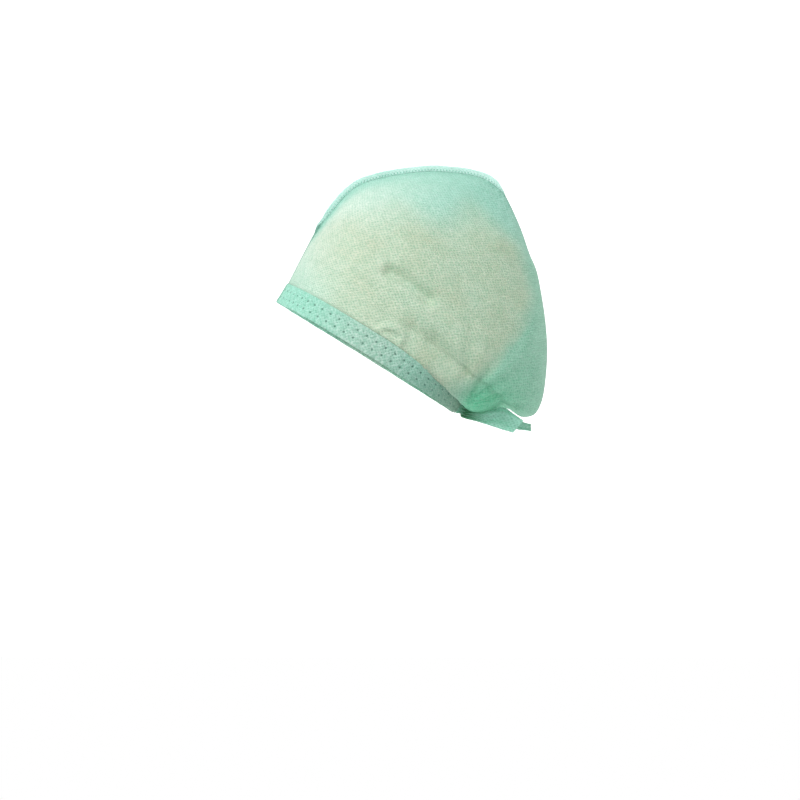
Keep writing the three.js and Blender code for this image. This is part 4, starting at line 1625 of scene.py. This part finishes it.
@dataclass(frozen=True)
class Studio:
    """A pale floor, soft light and the camera, in metres."""

    # The camera looks along +Y at the left side, 0.95 m from the plane of symmetry.
    camera: tuple[float, float, float] = (0.0294, -0.95, -0.0364)
    sensor: float = 36.0
    seen_width: float = 0.704
    # The floor runs back, sweeps up and goes on upright.
    floor_height: float = -0.262
    floor_half_width: float = 4.0
    floor_back: float = 2.0
    sweep_radius: float = 1.2
    sweep_steps: int = 60
    floor_glow: float = 0.45
    # How bright the surroundings light the cap. The background itself is seen at full white.
    surroundings: float = 0.66
    lights: tuple[Light, ...] = (
        Light("key", (-1.3, -1.2, 1.1), 1.0, 34.0),
        Light("fill", (1.2, -1.6, 0.0), 1.6, 7.0),
        Light("rim", (0.3, 1.1, 1.9), 1.5, 20.0),
    )

    def build(self) -> None:
        """Add the camera, floor, lights and surroundings."""
        self.build_camera()
        self.build_floor()
        for light in self.lights:
            light.build()
        self.build_surroundings()

    def build_camera(self) -> None:
        """Add the camera."""
        scene = bpy.context.scene
        lens = bpy.data.cameras.new("camera")
        lens.sensor_width = self.sensor
        lens.lens = self.sensor * -self.camera[1] / self.seen_width
        lens.clip_end = 50.0
        camera = bpy.data.objects.new("camera", lens)
        camera.location = self.camera
        camera.rotation_euler = (math.radians(90.0), 0.0, 0.0)
        scene.collection.objects.link(camera)
        scene.camera = camera
        scene.view_settings.view_transform = "Standard"

    def build_floor(self) -> None:
        """Add the floor, swept up behind the cap."""
        bm = bmesh.new()
        bmesh.ops.create_grid(bm, x_segments=1, y_segments=self.sweep_steps, size=self.floor_half_width)
        for vert in bm.verts:
            run = vert.co.y + self.floor_back
            turned = min(max(run / self.sweep_radius, 0.0), math.pi / 2)
            past = max(run - self.sweep_radius * math.pi / 2, 0.0)
            vert.co.y = min(run, 0.0) + self.sweep_radius * math.sin(turned) + self.floor_back
            vert.co.z = self.floor_height + self.sweep_radius * (1 - math.cos(turned)) + past
        for face in bm.faces:
            face.smooth = True
        mesh = bpy.data.meshes.new("floor")
        bm.to_mesh(mesh)
        bm.free()
        floor = bpy.data.objects.new("floor", mesh)
        bpy.context.scene.collection.objects.link(floor)
        material = bpy.data.materials.new("pale_floor")
        material.use_nodes = True
        shader = material.node_tree.nodes["Principled BSDF"]
        shader.inputs["Base Color"].default_value = linear("#f4f5f4")
        shader.inputs["Roughness"].default_value = 0.9
        shader.inputs["Emission Color"].default_value = linear("#ffffff")
        shader.inputs["Emission Strength"].default_value = self.floor_glow
        mesh.materials.append(material)

    def build_surroundings(self) -> None:
        """Surround the cap with even white light."""
        world = bpy.data.worlds.new("surroundings")
        bpy.context.scene.world = world
        world.use_nodes = True
        tree = world.node_tree
        tree.nodes.clear()
        seen = add(tree, "LightPath", output="Is Camera Ray")
        strength = add(tree, "MapRange", seen, 0.0, 1.0, self.surroundings, 1.0)
        sky = add(tree, "Background", sockets={"Color": linear("#ffffff"), "Strength": strength})
        add(tree, "OutputWorld", sky)


def main() -> None:
    """Build the cap from its sub-assemblies and report each piece."""
    logging.basicConfig(level=logging.INFO, format="%(message)s")
    Studio().build()
    _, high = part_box("crown")
    crown = Crown(back=high[0] / MM, height=high[2] / MM, half_width=high[1] / MM)
    band = Band(crown)
    crown_piece = crown.build()
    seam_piece = TopSeam(crown).build()
    band_piece = band.build()
    left = Tie(band, Side.LEFT, LEFT_TAIL).build()
    right = Tie(band, Side.RIGHT, RIGHT_TAIL).build()
    for piece in (crown_piece, seam_piece, band_piece, left, right):
        log.info("%s: %d faces", piece.name, len(piece.data.polygons))


if __name__ == "__main__":
    main()
